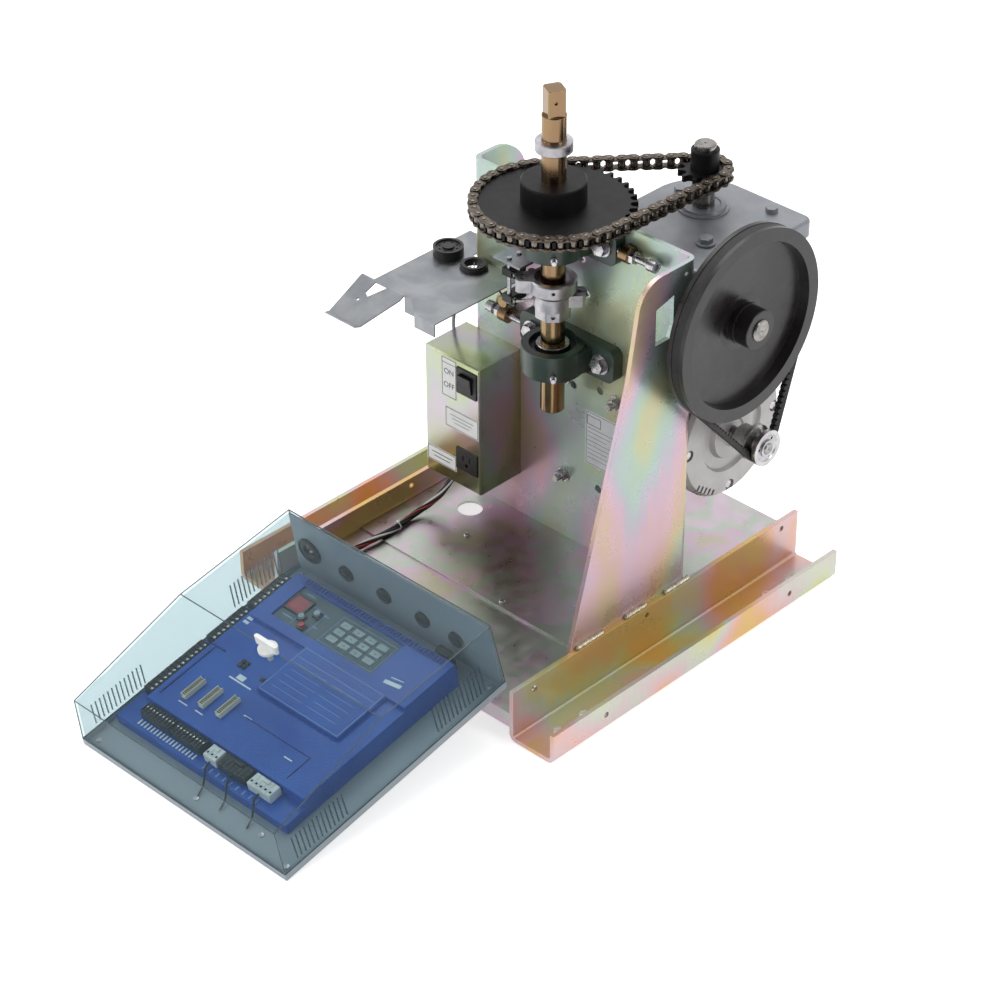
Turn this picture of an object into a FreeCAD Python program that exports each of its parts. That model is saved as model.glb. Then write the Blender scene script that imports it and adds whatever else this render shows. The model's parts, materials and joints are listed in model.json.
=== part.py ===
import FreeCAD, Part
import math
import os
import Sketcher

# Swing gate operator: a folded steel frame on two rails carries a vertical output shaft, turned by
# a motor through a belt, a worm reducer and a roller chain. A control box is hinged to its front.
# Frame of the part: +Z up, +X from the left rail to the right rail, +Y from front to back.
# The origin is the centre of the anchor hole pattern on the mounting plane.

V = FreeCAD.Vector
doc = FreeCAD.newDocument("swing_gate_operator")
sheet = doc.addObject("Spreadsheet::Sheet", "Sizes")
sheet_rows = []
nodes = []


class Size:
    """A length or an angle: its value, and the formula that gives it from the sheet."""

    def __init__(self, value, formula=None):
        self.value = float(value)
        self.formula = formula or "(%r)" % float(value)

    def __add__(self, other):
        return joined(self, "+", other)

    def __radd__(self, other):
        return joined(other, "+", self)

    def __sub__(self, other):
        return joined(self, "-", other)

    def __rsub__(self, other):
        return joined(other, "-", self)

    def __mul__(self, other):
        return joined(self, "*", other)

    def __rmul__(self, other):
        return joined(other, "*", self)

    def __truediv__(self, other):
        return joined(self, "/", other)

    def __neg__(self):
        return joined(-1, "*", self)


def as_size(number):
    return number if isinstance(number, Size) else Size(number)


def joined(left, sign, right):
    left, right = as_size(left), as_size(right)
    formula = "(%s %s %s)" % (left.formula, sign, right.formula)
    if sign == "+":
        return Size(left.value + right.value, formula)
    if sign == "-":
        return Size(left.value - right.value, formula)
    if sign == "*":
        return Size(left.value * right.value, formula)
    return Size(left.value / right.value, formula)


def sine(angle):
    return Size(math.sin(math.radians(angle.value)), "sin(%s)" % angle.formula)


def cosine(angle):
    return Size(math.cos(math.radians(angle.value)), "cos(%s)" % angle.formula)


def sheet_row(name, entry, value):
    sheet_rows.append(name)
    row = len(sheet_rows)
    sheet.set("A%d" % row, name.replace("_", " "))
    sheet.set("B%d" % row, entry)
    sheet.setAlias("B%d" % row, name)
    return Size(value, "Sizes." + name)


def size(name, value):
    """A driving dimension: one row of the sheet, in millimetres or degrees."""
    return sheet_row(name, repr(value), value)


def level(name, length):
    """A place worked out from other sizes, kept on the sheet under its own name."""
    return sheet_row(name, "=" + length.formula.replace("Sizes.", ""), length.value)


def bind(thing, name, length):
    thing.setExpression(name, as_size(length).formula)


def at(*lengths):
    return V(*[as_size(length).value for length in lengths])


def ordered(first, second):
    """Two levels, the lower one first."""
    first, second = as_size(first), as_size(second)
    return (first, second) if first.value < second.value else (second, first)


# Driving dimensions

# frame
steel = size("frame_plate_thickness", 6.35)
bend = size("bend_radius", 6.0)
rail_length = size("rail_length", 555.0)
rail_spread = size("rail_inner_spread", 428.0)
rail_width = size("rail_width", 76.2)
rail_inner = size("rail_inner_flange_height", 76.2)
rail_outer = size("rail_outer_flange_height", 44.45)
rail_bend = size("rail_bend_radius", 4.0)
anchor_line = size("anchor_hole_from_middle", 252.0)
anchor_outer = size("outer_anchor_half_spacing", 228.0)
anchor_inner = size("inner_anchor_half_spacing", 180.0)
anchor_radius = size("anchor_hole_radius", 7.15)
side_hole_radius = size("rail_side_hole_radius", 4.0)
outer_hole_height = size("outer_flange_hole_height", 25.0)
inner_hole_height = size("inner_flange_hole_height", 64.0)
inner_hole_front = size("inner_flange_hole_front", -27.0)
inner_hole_back = size("inner_flange_hole_back", 244.0)
deck_top = size("deck_top_height", 44.1)
deck_sheet = size("deck_sheet_thickness", 3.0)
deck_drop = size("deck_flange_drop", 25.0)
deck_front = size("deck_front_edge", -126.3)
pan_tongue = size("pan_tongue_length", 22.3)
conduit_x = size("conduit_hole_across", -137.0)
conduit_y = size("conduit_hole_along", 9.2)
conduit_radius = size("conduit_hole_radius", 17.45)
panel_front = size("bearing_panel_front", 51.0)
panel_left = size("bearing_panel_left", -168.5)
frame_top = size("frame_top_height", 560.0)
side_bottom = size("side_plate_foot_front", -175.3)
side_knee = size("side_plate_knee_front", -66.5)
knee_height = size("side_plate_knee_height", 430.0)
side_crown = size("side_plate_crown_front", -44.0)
crown_radius = size("side_plate_crown_radius", 42.0)
gusset_bottom = size("gusset_foot_back", 268.0)
gusset_knee = size("gusset_knee_back", 160.0)
gusset_crown = size("gusset_crown_back", 137.0)
gusset_radius = size("gusset_crown_radius", 56.0)
weld = size("weld_leg", 5.0)

# output shaft, its bearings, collar, cams and sprocket
fit = size("shaft_fit_gap", 0.05)
gap = size("loose_gap", 0.3)
shaft_x = size("output_shaft_across", 17.0)
bearing_rise = size("bearing_centre_height", 42.9)
shaft_radius = size("output_shaft_radius", 15.875)
square_flats = size("output_square_across_flats", 23.4)
square_turn = size("output_square_turn", -27.0)
bearing_drop = size("upper_bearing_under_frame_top", 29.0)
bearing_spacing = size("bearing_spacing", 173.0)
bearing_high = level("upper_bearing_height", frame_top - bearing_drop)
bearing_low = level("lower_bearing_height", bearing_high - bearing_spacing)
shaft_tail = size("shaft_under_lower_bearing", 81.0)
shaft_low = level("output_shaft_bottom", bearing_low - shaft_tail)
chain_rise = size("chain_over_upper_bearing", 47.0)
chain_height = level("chain_centre_height", bearing_high + chain_rise)
hub_height = size("drive_hub_over_chain", 36.0)
hub_top = level("drive_hub_top", chain_height + hub_height)
block_length = size("bearing_block_length", 165.0)
block_height = size("bearing_foot_height", 48.0)
block_foot = size("bearing_foot_thickness", 17.5)
block_radius = size("bearing_ring_radius", 41.5)
block_width = size("bearing_ring_width", 38.0)
insert_radius = size("bearing_insert_radius", 31.0)
race_radius = size("bearing_inner_race_radius", 22.0)
race_width = size("bearing_inner_race_width", 40.0)
bolt_spacing = size("bearing_bolt_spacing", 121.0)
bolt_radius = size("bearing_bolt_radius", 6.35)
bolt_flats = size("bearing_bolt_flats", 19.0)
bolt_head = size("bearing_bolt_head", 8.0)
washer_radius = size("bearing_washer_radius", 14.0)
washer_sheet = size("washer_thickness", 2.5)
collar_radius = size("collar_radius", 24.0)
collar_rise = size("collar_over_hub", 40.0)
collar_low = level("collar_bottom", hub_top + collar_rise)
collar_width = size("collar_width", 14.5)
seat_rise = size("arm_seat_over_collar", 2.5)
seat_groove = size("arm_seat_groove_width", 1.5)
seat_step = size("arm_seat_step", 0.4)
seat_length = size("arm_seat_length", 32.0)
seat_low = level("arm_seat_bottom", collar_low + collar_width + seat_rise)
square_low = level("output_square_bottom", seat_low + seat_length)
square_length = size("output_square_length", 37.0)
shaft_high = level("output_shaft_top", square_low + square_length)
cam_rise = size("upper_cam_over_lower_bearing", 98.5)
cam_spacing = size("cam_spacing", 37.5)
upper_cam_low = level("upper_cam_bottom", bearing_low + cam_rise)
upper_cam_width = size("upper_cam_width", 17.5)
upper_cam_radius = size("upper_cam_radius", 31.0)
upper_lobe_reach = size("upper_lobe_reach", 48.0)
upper_lobe_turn = size("upper_lobe_turn", -136.0)
lower_cam_low = level("lower_cam_bottom", upper_cam_low - cam_spacing)
lower_cam_width = size("lower_cam_width", 33.0)
lower_cam_radius = size("lower_cam_radius", 24.0)
lower_lobe_reach = size("lower_lobe_reach", 41.5)
lower_lobe_turn = size("lower_lobe_turn", 44.0)
lobe_width = size("cam_lobe_width", 24.0)
lobe_bevel = size("cam_lobe_bevel", 4.0)

# chain drive
pitch = size("chain_pitch", 15.875)
roller_radius = size("chain_roller_radius", 5.08)
roller_width = size("chain_roller_width", 9.4)
link_sheet = size("chain_link_thickness", 2.03)
link_radius = size("chain_link_end_radius", 7.1)
pin_radius = size("chain_pin_radius", 2.54)
pin_proud = size("chain_pin_proud", 1.0)
sprocket_width = size("sprocket_plate_width", 8.7)
seat_play = size("tooth_seat_play", 0.27)
hub_radius = size("drive_hub_radius", 42.0)
small_hub_radius = size("pinion_hub_radius", 18.5)
small_hub_height = size("pinion_hub_over_chain", 34.0)
small_hub_top = level("pinion_hub_top", chain_height + small_hub_height)
drive_direction = size("reducer_direction", 67.6)

# worm reducer and its shelf
shelf_drop = size("reducer_shelf_under_chain", 195.0)
shelf_top = level("reducer_shelf_top", chain_height - shelf_drop)
shelf_back = size("reducer_shelf_back", 270.0)
shelf_right = size("reducer_shelf_right", 200.0)
case_height = size("reducer_case_height", 144.0)
case_top = level("reducer_case_top", shelf_top + case_height)
case_left = size("reducer_case_left_reach", 78.0)
case_right = size("reducer_case_right_reach", 120.0)
case_back = size("reducer_case_back_reach", 76.0)
case_front = size("reducer_case_front_reach", 131.0)
case_corner = size("reducer_case_round", 74.0)
case_bend = size("reducer_case_corner", 12.0)
drive_radius = size("reducer_shaft_radius", 14.3)
drive_rise = size("reducer_shaft_over_chain", 41.0)
drive_top = level("reducer_shaft_top", chain_height + drive_rise)
worm_y = size("worm_axis_along", 110.0)
worm_rise = size("worm_axis_over_shelf", 74.0)
worm_z = level("worm_axis_height", shelf_top + worm_rise)

# belt drive
belt_plane = size("belt_plane_across", 247.5)
sheave_width = size("sheave_rim_width", 25.0)
sheave_radius = size("driven_sheave_radius", 130.2)
sheave_hub = size("driven_sheave_hub_radius", 26.5)
sheave_nose = size("driven_sheave_hub_front", 274.0)
pinion_sheave = size("drive_sheave_radius", 25.4)
pinion_sheave_neck = size("drive_sheave_hub_radius", 18.0)
groove_half = size("groove_half_width", 6.6)
groove_depth = size("groove_depth", 11.0)
groove_slope = size("groove_side_slope", 0.325)
belt_sink = size("belt_below_rim", 1.0)
belt_height = size("belt_height", 8.0)
belt_side_gap = size("belt_side_gap", 0.18)

# motor
motor_y = size("motor_axis_along", 154.5)
motor_drop = size("motor_axis_under_shelf", 129.0)
motor_z = level("motor_axis_height", shelf_top - motor_drop)
motor_face = size("motor_bell_face", 200.0)
bell_radius = size("motor_bell_radius", 95.0)
shell_radius = size("motor_shell_radius", 84.0)
shell_right = size("motor_shell_right", 152.0)
shell_left = size("motor_shell_left", -28.0)
bell_left = size("motor_rear_bell_end", -74.0)
motor_shaft_radius = size("motor_shaft_radius", 7.94)
motor_bolt_circle = size("motor_bolt_circle_radius", 84.0)
comb_depth = size("motor_vent_comb_foot", 81.0)
comb_direction = size("motor_vent_comb_direction", 35.0)
mount_left = size("motor_mount_bolt_left", -2.0)
mount_right = size("motor_mount_bolt_right", 90.0)
mount_drop = size("motor_mount_bolt_under_axis", 110.5)
mount_rise = size("motor_mount_bolt_over_axis", 42.0)
mount_low = level("motor_mount_bolt_low", motor_z - mount_drop)
mount_high = level("motor_mount_bolt_high", motor_z + mount_rise)

# power box
box_sheet = size("power_box_sheet", 1.5)
power_left = size("power_box_left", -182.0)
power_right = size("power_box_right", -81.0)
power_front = size("power_box_front", -27.7)
power_drop = size("power_box_under_lower_bearing", 52.5)
power_height = size("power_box_height", 197.0)
power_high = level("power_box_top", bearing_low - power_drop)
power_low = level("power_box_bottom", power_high - power_height)
switch_x = size("rocker_middle_across", -103.7)
switch_drop = size("rocker_under_box_top", 28.5)
switch_z = level("rocker_middle_height", power_high - switch_drop)
outlet_x = size("receptacle_middle_across", -104.5)
outlet_rise = size("receptacle_over_box_bottom", 45.0)
outlet_z = level("receptacle_middle_height", power_low + outlet_rise)

# equipment shelf
tray_sheet = size("equipment_shelf_sheet", 1.5)
tray_rise = size("equipment_shelf_over_lower_bearing", 55.0)
tray_top = level("equipment_shelf_top", bearing_low + tray_rise)
tray_left = size("equipment_shelf_left", -218.0)
tray_right = size("equipment_shelf_right", -80.0)
tray_front = size("equipment_shelf_front", -109.0)
tray_back = size("equipment_shelf_back", 96.0)
tray_flange = size("equipment_shelf_flange", 19.0)
nose_left = size("equipment_shelf_nose_left", -116.6)
tab_left = size("shelf_tab_left", -240.0)
tab_right = size("shelf_tab_right", -160.0)
tab_slope = size("shelf_tab_slope", 27.0)
tab_line = size("shelf_tab_bend_line", -84.0)
tab_reach = size("shelf_tab_reach", 66.0)

# control box, in its own tilted frame at the hinge
tilt = size("control_box_tilt", 12.0)
cover_left = size("control_box_left", -166.0)
cover_right = size("control_box_right", 210.0)
box_length = size("control_box_length", 386.0)
hinge_y = size("control_hinge_along", -282.0)
hinge_drop = size("hinge_axis_under_base", 7.0)
hinge_inset = size("hinge_axis_from_rear", 6.0)
wall = size("control_box_wall", 3.0)
rim = size("control_base_rim", 10.0)
front_wall = size("control_cover_front_height", 79.0)
ridge_height = size("control_cover_ridge_height", 111.0)
ridge_from_front = size("control_cover_ridge_from_front", 194.0)
rear_height = size("control_cover_rear_height", 107.0)
cover_draft = size("control_cover_side_draft", 3.3)
knuckle_radius = size("hinge_knuckle_radius", 5.0)
hinge_pin_radius = size("hinge_pin_radius", 2.5)

# deck screws, bearing slots and panel holes
screw_radius = size("deck_screw_radius", 2.5)
screw_head = size("deck_screw_head_radius", 4.6)
rail_screw_y = size("rail_screw_along", -239.4)
rail_screw_z = size("rail_screw_height", 63.1)
slot_length = size("bearing_slot_length", 30.0)
slot_width = size("bearing_slot_width", 14.0)
panel_hole = size("panel_hole_radius", 5.5)
mount_bolt = size("motor_mount_bolt_radius", 4.76)
nut_height = size("bearing_nut_height", 10.9)

# jack screws
jack_y = size("jack_screw_along", 40.0)
jack_boss = size("jack_boss_radius", 11.0)
jack_screw = size("jack_screw_radius", 5.0)
jack_head = size("jack_head_radius", 8.0)
right_boss = size("right_jack_boss", 106.0)
left_boss = size("left_jack_boss", -90.0)
boss_width = size("jack_boss_width", 14.0)
jack_nut = size("jack_nut_width", 8.0)
post_x = size("cable_post_across", -90.0)
post_radius = size("cable_post_radius", 8.0)
post_drop = size("cable_post_under_shelf_flange", 1.0)
post_z = level("cable_post_height", tray_top - tray_flange - post_radius - post_drop)
post_reach = size("cable_post_reach", 26.0)

# reducer caps and shafts
seal_radius = size("reducer_seal_radius", 34.0)
seal_height = size("reducer_seal_height", 6.0)
worm_cap = size("worm_cap_radius", 37.5)
worm_cap_width = size("worm_cap_width", 6.0)
case_waist = size("reducer_waist_depth", 6.0)
case_foot = size("reducer_foot_height", 14.0)
case_lid = size("reducer_lid_height", 24.0)
worm_shaft_end = size("worm_shaft_end", 277.0)
wheel_depth = size("reducer_shaft_depth", 40.0)

# motor base and power box fittings
base_sheet = size("motor_base_thickness", 6.35)
rocker_half_x = size("rocker_bezel_half_width", 18.1)
rocker_half_z = size("rocker_bezel_half_height", 19.5)
rocker_body = size("rocker_body_inset", 3.5)
outlet_half_x = size("receptacle_half_width", 19.5)
outlet_half_z = size("receptacle_half_height", 16.5)
lip = size("bezel_lip", 2.0)
blade_reach = size("receptacle_slot_from_middle", 6.35)
blade_half = size("receptacle_slot_half_width", 0.9)
box_screw_y = size("power_box_screw_along", -12.0)
box_screw_drop = size("power_box_screw_under_top", 20.5)
box_screw_z = level("power_box_screw_height", power_high - box_screw_drop)
rocker_pin = size("rocker_pin_radius", 1.5)
rocker_pin_depth = size("rocker_pin_behind_front", 4.0)
harness_x = size("harness_hole_across", -152.0)
harness_y = size("harness_hole_along", 2.0)
harness_hole = size("harness_hole_radius", 12.0)
harness_bore = size("harness_bushing_bore", 8.4)
lead_hole = size("power_box_lead_hole_radius", 7.0)
lead_hole_y = size("power_box_lead_hole_along", 36.0)
lead_hole_drop = size("power_box_lead_hole_under_top", 29.5)

# fittings on the equipment shelf
socket_x = size("relay_socket_across", -194.0)
socket_y = size("relay_socket_along", 31.0)
socket_radius = size("relay_socket_radius", 20.5)
socket_height = size("relay_socket_height", 13.5)
grommet_x = size("grommet_across", -145.0)
grommet_y = size("grommet_along", 29.0)
grommet_radius = size("grommet_radius", 18.5)

# limit switches
bracket_rise = size("switch_bracket_over_cam", 27.5)
bracket_top = level("switch_bracket_top", upper_cam_low + bracket_rise)
bracket_sheet = size("switch_bracket_sheet", 3.0)
switch_left = size("limit_switch_left", -50.0)
switch_deep = size("limit_switch_depth", 16.0)
switch_front = size("limit_switch_front", -16.0)
switch_long = size("limit_switch_length", 28.0)
switch_thick = size("limit_switch_thickness", 10.5)
pivot_radius = size("switch_lever_pivot_radius", 1.0)
pivot_x = size("switch_lever_pivot_across", -31.0)
pivot_y = size("switch_lever_pivot_along", -13.0)
lever_roller = size("switch_lever_roller_radius", 4.8)
roller_gap = size("switch_roller_gap", 2.0)

# control board, latch and hinge leaves
louvre_pitch = size("louvre_pitch", 7.0)
louvre_width = size("louvre_width", 2.2)
entry_bore = size("cable_bushing_bore", 11.0)
latch_radius = size("latch_stem_radius", 4.0)
latch_x = size("latch_from_box_left", 173.0)
latch_before_ridge = size("latch_before_ridge", 2.0)
board_top = size("board_housing_height", 34.0)
board_left = size("board_housing_left", 36.0)
board_right = size("board_housing_right", 326.0)
board_front = size("board_housing_front", 86.0)
board_rear = size("board_housing_rear", 352.0)
board_step = size("board_step_from_datum", 262.0)
board_datum = size("board_datum_from_box_rear", 386.0)
ledge_height = size("board_ledge_height", 18.0)
board_rise = size("board_step_rise", 6.0)
button_radius = size("push_button_radius", 4.2)
button_travel = size("push_button_travel", 1.5)
leaf = size("hinge_leaf_thickness", 3.0)
leaf_half = size("hinge_leaf_half_width", 22.0)
middle_half = size("hinge_middle_knuckle_half", 8.0)

# Worked-out places
rail_face = rail_spread / 2
rail_edge = rail_face + rail_width
half_rail = rail_length / 2
panel_back = panel_front + steel
shaft_y = panel_front - bearing_rise


# Building blocks


def node(name):
    """A body whose label is the node's name."""
    body = doc.addObject("PartDesign::Body", name)
    body.Label = name
    body.AllowCompound = True
    nodes.append(body)
    return body


def place(thing, x, y, z, axis=(0, 0, 1), angle=0.0):
    turn = as_size(angle)
    thing.Placement = FreeCAD.Placement(at(x, y, z), FreeCAD.Rotation(V(*axis), turn.value))
    bind(thing, "Placement.Base.x", x)
    bind(thing, "Placement.Base.y", y)
    bind(thing, "Placement.Base.z", z)
    if "Sizes" in turn.formula:
        bind(thing, "Placement.Rotation.Angle", turn)


def fix(number, spot, x, y):
    return [
        (Sketcher.Constraint("DistanceX", -1, 1, number, spot, as_size(x).value), as_size(x)),
        (Sketcher.Constraint("DistanceY", -1, 1, number, spot, as_size(y).value), as_size(y)),
    ]


def constrain(sketch, rules):
    """Add the rules together, then bind each one that has a size."""
    numbers = sketch.addConstraint([rule for rule, length in rules])
    for number, (rule, length) in zip(numbers, rules):
        if length is not None:
            bind(sketch, "Constraints[%d]" % number, length)


def poly(*points):
    """A closed outline of straight lines through the points."""

    def add(sketch):
        first = sketch.GeometryCount
        count = len(points)
        spots = [at(x, y, 0) for x, y in points]
        lines = [Part.LineSegment(spots[i], spots[(i + 1) % count]) for i in range(count)]
        sketch.addGeometry(lines, False)
        rules = []
        for i in range(count):
            after = first + (i + 1) % count
            rules.append((Sketcher.Constraint("Coincident", first + i, 2, after, 1), None))
            rules += fix(first + i, 1, *points[i])
        constrain(sketch, rules)

    return add


def box(left, right, low, high):
    return poly((left, low), (right, low), (right, high), (left, high))


def box_between(corner, opposite):
    return box(corner[0], opposite[0], corner[1], opposite[1])


def box_about(x, y, half_x, half_y):
    return box(x - half_x, x + half_x, y - half_y, y + half_y)


def circle(x, y, radius):
    def add(sketch):
        number = sketch.GeometryCount
        sketch.addGeometry(Part.Circle(at(x, y, 0), V(0, 0, 1), as_size(radius).value), False)
        round_rule = (Sketcher.Constraint("Radius", number, as_size(radius).value), as_size(radius))
        constrain(sketch, [round_rule] + fix(number, 3, x, y))

    return add


def slot(x, y, length, width):
    """A slot along the sketch's first axis, round at both ends."""
    reach = (length - width) / 2
    half = width / 2

    def add(sketch):
        first = sketch.GeometryCount
        left, right = at(x - reach, y, 0), at(x + reach, y, 0)
        up = at(0, half, 0)
        sketch.addGeometry(
            [
                Part.LineSegment(left - up, right - up),
                Part.Arc(right - up, right + at(half, 0, 0), right + up),
                Part.LineSegment(right + up, left + up),
                Part.Arc(left + up, left - at(half, 0, 0), left - up),
            ],
            False,
        )
        rules = [
            (Sketcher.Constraint("Coincident", first, 2, first + 1, 1), None),
            (Sketcher.Constraint("Coincident", first + 1, 2, first + 2, 1), None),
            (Sketcher.Constraint("Coincident", first + 2, 2, first + 3, 1), None),
            (Sketcher.Constraint("Coincident", first + 3, 2, first, 1), None),
        ]
        rules += fix(first, 1, x - reach, y - half)
        rules += fix(first, 2, x + reach, y - half)
        rules += fix(first + 2, 1, x + reach, y + half)
        rules += fix(first + 2, 2, x - reach, y + half)
        rules.append(fix(first + 1, 3, x + reach, y)[0])
        rules.append(fix(first + 3, 3, x - reach, y)[0])
        constrain(sketch, rules)

    return add


def ring_points(x, y, radius, count, start=0.0):
    """The corners of a regular outline about a point."""
    turns = [Size(start + 360.0 * i / count) for i in range(count)]
    return [(x + radius * cosine(t), y + radius * sine(t)) for t in turns]


def hexagon(x, y, flats, start=30.0):
    return poly(*ring_points(x, y, flats / math.sqrt(3.0), 6, start))


def sketch_on(body, plane, level, wires):
    """A sketch on one of the body's origin planes, set off along that plane's normal."""
    origin_plane = [f for f in body.Origin.OriginFeatures if f.Role == plane + "_Plane"][0]
    sketch = body.newObject("Sketcher::SketchObject", body.Name + "_outline")
    sketch.AttachmentSupport = [(origin_plane, "")]
    sketch.MapMode = "FlatFace"
    bind(sketch, "AttachmentOffset.Base.z", level)
    for wire in wires:
        wire(sketch)
    return sketch


def pad(body, plane, low, high, *wires):
    """Material inside the outlines between two levels. The XZ plane's normal points along -Y."""
    level = -as_size(high) if plane == "XZ" else low
    feature = body.newObject("PartDesign::Pad", body.Name + "_pad")
    feature.Profile = sketch_on(body, plane, level, wires)
    bind(feature, "Length", high - low)
    return feature


def cut(body, plane, low, high, *wires):
    """A pocket inside the outlines between two levels."""
    level = -as_size(low) if plane == "XZ" else high
    feature = body.newObject("PartDesign::Pocket", body.Name + "_cut")
    feature.Profile = sketch_on(body, plane, level, wires)
    bind(feature, "Length", high - low)
    return feature


def turn(body, *points):
    """A solid of revolution about the body's own Z axis, from (radius, height) points."""
    feature = body.newObject("PartDesign::Revolution", body.Name + "_turned")
    feature.Profile = sketch_on(body, "XZ", 0, [poly(*points)])
    feature.ReferenceAxis = (feature.Profile[0], ["V_Axis"])
    feature.Angle = 360
    return feature


def around(body, feature, count):
    """The feature repeated in a full circle about the body's own Z axis."""
    pattern = body.newObject("PartDesign::PolarPattern", body.Name + "_ring")
    pattern.Originals = [feature]
    pattern.Axis = (feature.Profile[0], ["N_Axis"])
    pattern.Angle = 360
    pattern.Occurrences = count
    body.Tip = pattern
    return pattern


def soften(body, radius, *spots, kind="Fillet"):
    """Round or bevel the edges that pass through the given points of the body's own frame."""
    doc.recompute()
    base = body.Tip
    names = []
    for spot in spots:
        mark = Part.Vertex(at(*spot))
        near = [i for i, e in enumerate(base.Shape.Edges, 1) if e.distToShape(mark)[0] < 0.001]
        if not near:
            raise ValueError("no edge of %s at %s" % (body.Name, at(*spot)))
        names += ["Edge%d" % i for i in near]
    feature = body.newObject("PartDesign::" + kind, body.Name + "_" + kind.lower())
    feature.Base = (base, names)
    bind(feature, "Radius" if kind == "Fillet" else "Size", radius)
    return feature


def free_node(name, shape):
    """A node whose shape follows a worked-out path, which no sketch feature fits."""
    thing = doc.addObject("Part::Feature", name)
    thing.Label = name
    thing.Shape = shape
    nodes.append(thing)
    return thing


# Frame


def make_rail(name, side):
    """A rail: an uneven channel with its taller flange inward, bolted down through its web."""
    body = node(name)
    near, far = rail_face, rail_edge
    outline = [
        (near, 0), (far, 0), (far, rail_outer), (far - steel, rail_outer),
        (far - steel, steel), (near + steel, steel), (near + steel, rail_inner), (near, rail_inner),
    ]
    pad(body, "XZ", -half_rail, half_rail, poly(*[(side * x, z) for x, z in outline]))
    soften(body, rail_bend + steel, (side * near, 0, 0), (side * far, 0, 0))
    soften(body, rail_bend, (side * (near + steel), 0, steel), (side * (far - steel), 0, steel))
    rows = (-anchor_outer, -anchor_inner, anchor_inner, anchor_outer)
    cut(body, "XY", -1, steel + 1, *[circle(side * anchor_line, y, anchor_radius) for y in rows])
    outer = ordered(side * (far - steel - 1), side * (far + 1))
    holes = [circle(y, outer_hole_height, side_hole_radius) for y in (-anchor_inner, anchor_inner)]
    cut(body, "YZ", outer[0], outer[1], *holes)
    inner = ordered(side * (near - 1), side * (near + steel + 1))
    holes = [circle(y, inner_hole_height, side_hole_radius) for y in (inner_hole_front, inner_hole_back)]
    holes.append(circle(rail_screw_y, rail_screw_z, screw_radius + gap))
    cut(body, "YZ", inner[0], inner[1], *holes)


make_rail("rail_right", 1)
make_rail("rail_left", -1)

screw_spots = [(-95.0, -40.0), (46.0, -117.0)]


def make_deck():
    """The deck: a sheet with turned-down sides, seated between the rails."""
    body = node("deck_plate")
    low = deck_top - deck_drop
    under = deck_top - deck_sheet
    edge = rail_face - deck_sheet
    outline = [
        (-rail_face, low), (-edge, low), (-edge, under), (edge, under), (edge, low),
        (rail_face, low), (rail_face, deck_top), (-rail_face, deck_top),
    ]
    pad(body, "XZ", deck_front, half_rail, poly(*outline))
    soften(body, deck_sheet, (-rail_face, 0, deck_top), (rail_face, 0, deck_top))
    cut(body, "XY", under - 1, deck_top + 1, circle(conduit_x, conduit_y, conduit_radius))
    holes = [circle(x, y, screw_radius + gap) for x, y in screw_spots]
    cut(body, "XY", under - 1, deck_top + 1, *holes)


def make_front_pan():
    """The front of the deck: a lower sheet whose tongue laps under the deck."""
    body = node("deck_front_pan")
    high = deck_top - deck_sheet
    low = high - deck_sheet
    foot = deck_top - deck_drop
    tongue = rail_face - deck_sheet - gap
    lap = deck_front + pan_tongue
    outline = [
        (-rail_face, -half_rail), (rail_face, -half_rail), (rail_face, deck_front),
        (tongue, deck_front), (tongue, lap), (-tongue, lap), (-tongue, deck_front),
        (-rail_face, deck_front),
    ]
    pad(body, "XY", low, high, poly(*outline))
    pad(body, "XZ", -half_rail, -half_rail + deck_sheet, box(-rail_face, rail_face, foot, high))
    for side in (-1, 1):
        flange = ordered(side * rail_face, side * (rail_face - deck_sheet))
        pad(body, "YZ", *flange, box(-half_rail, deck_front, foot, high))
    x, y = screw_spots[1]
    cut(body, "XY", low - 1, high + 1, circle(x, y, screw_radius + gap))


make_deck()
make_front_pan()

bolt_half = bolt_spacing / 2
mount_spots = [(x, z) for x in (mount_left, mount_right) for z in (mount_low, mount_high)]
weld_runs = [(Size(-156), Size(-109)), (Size(-64), Size(-27)), (Size(12), panel_front)]


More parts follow.
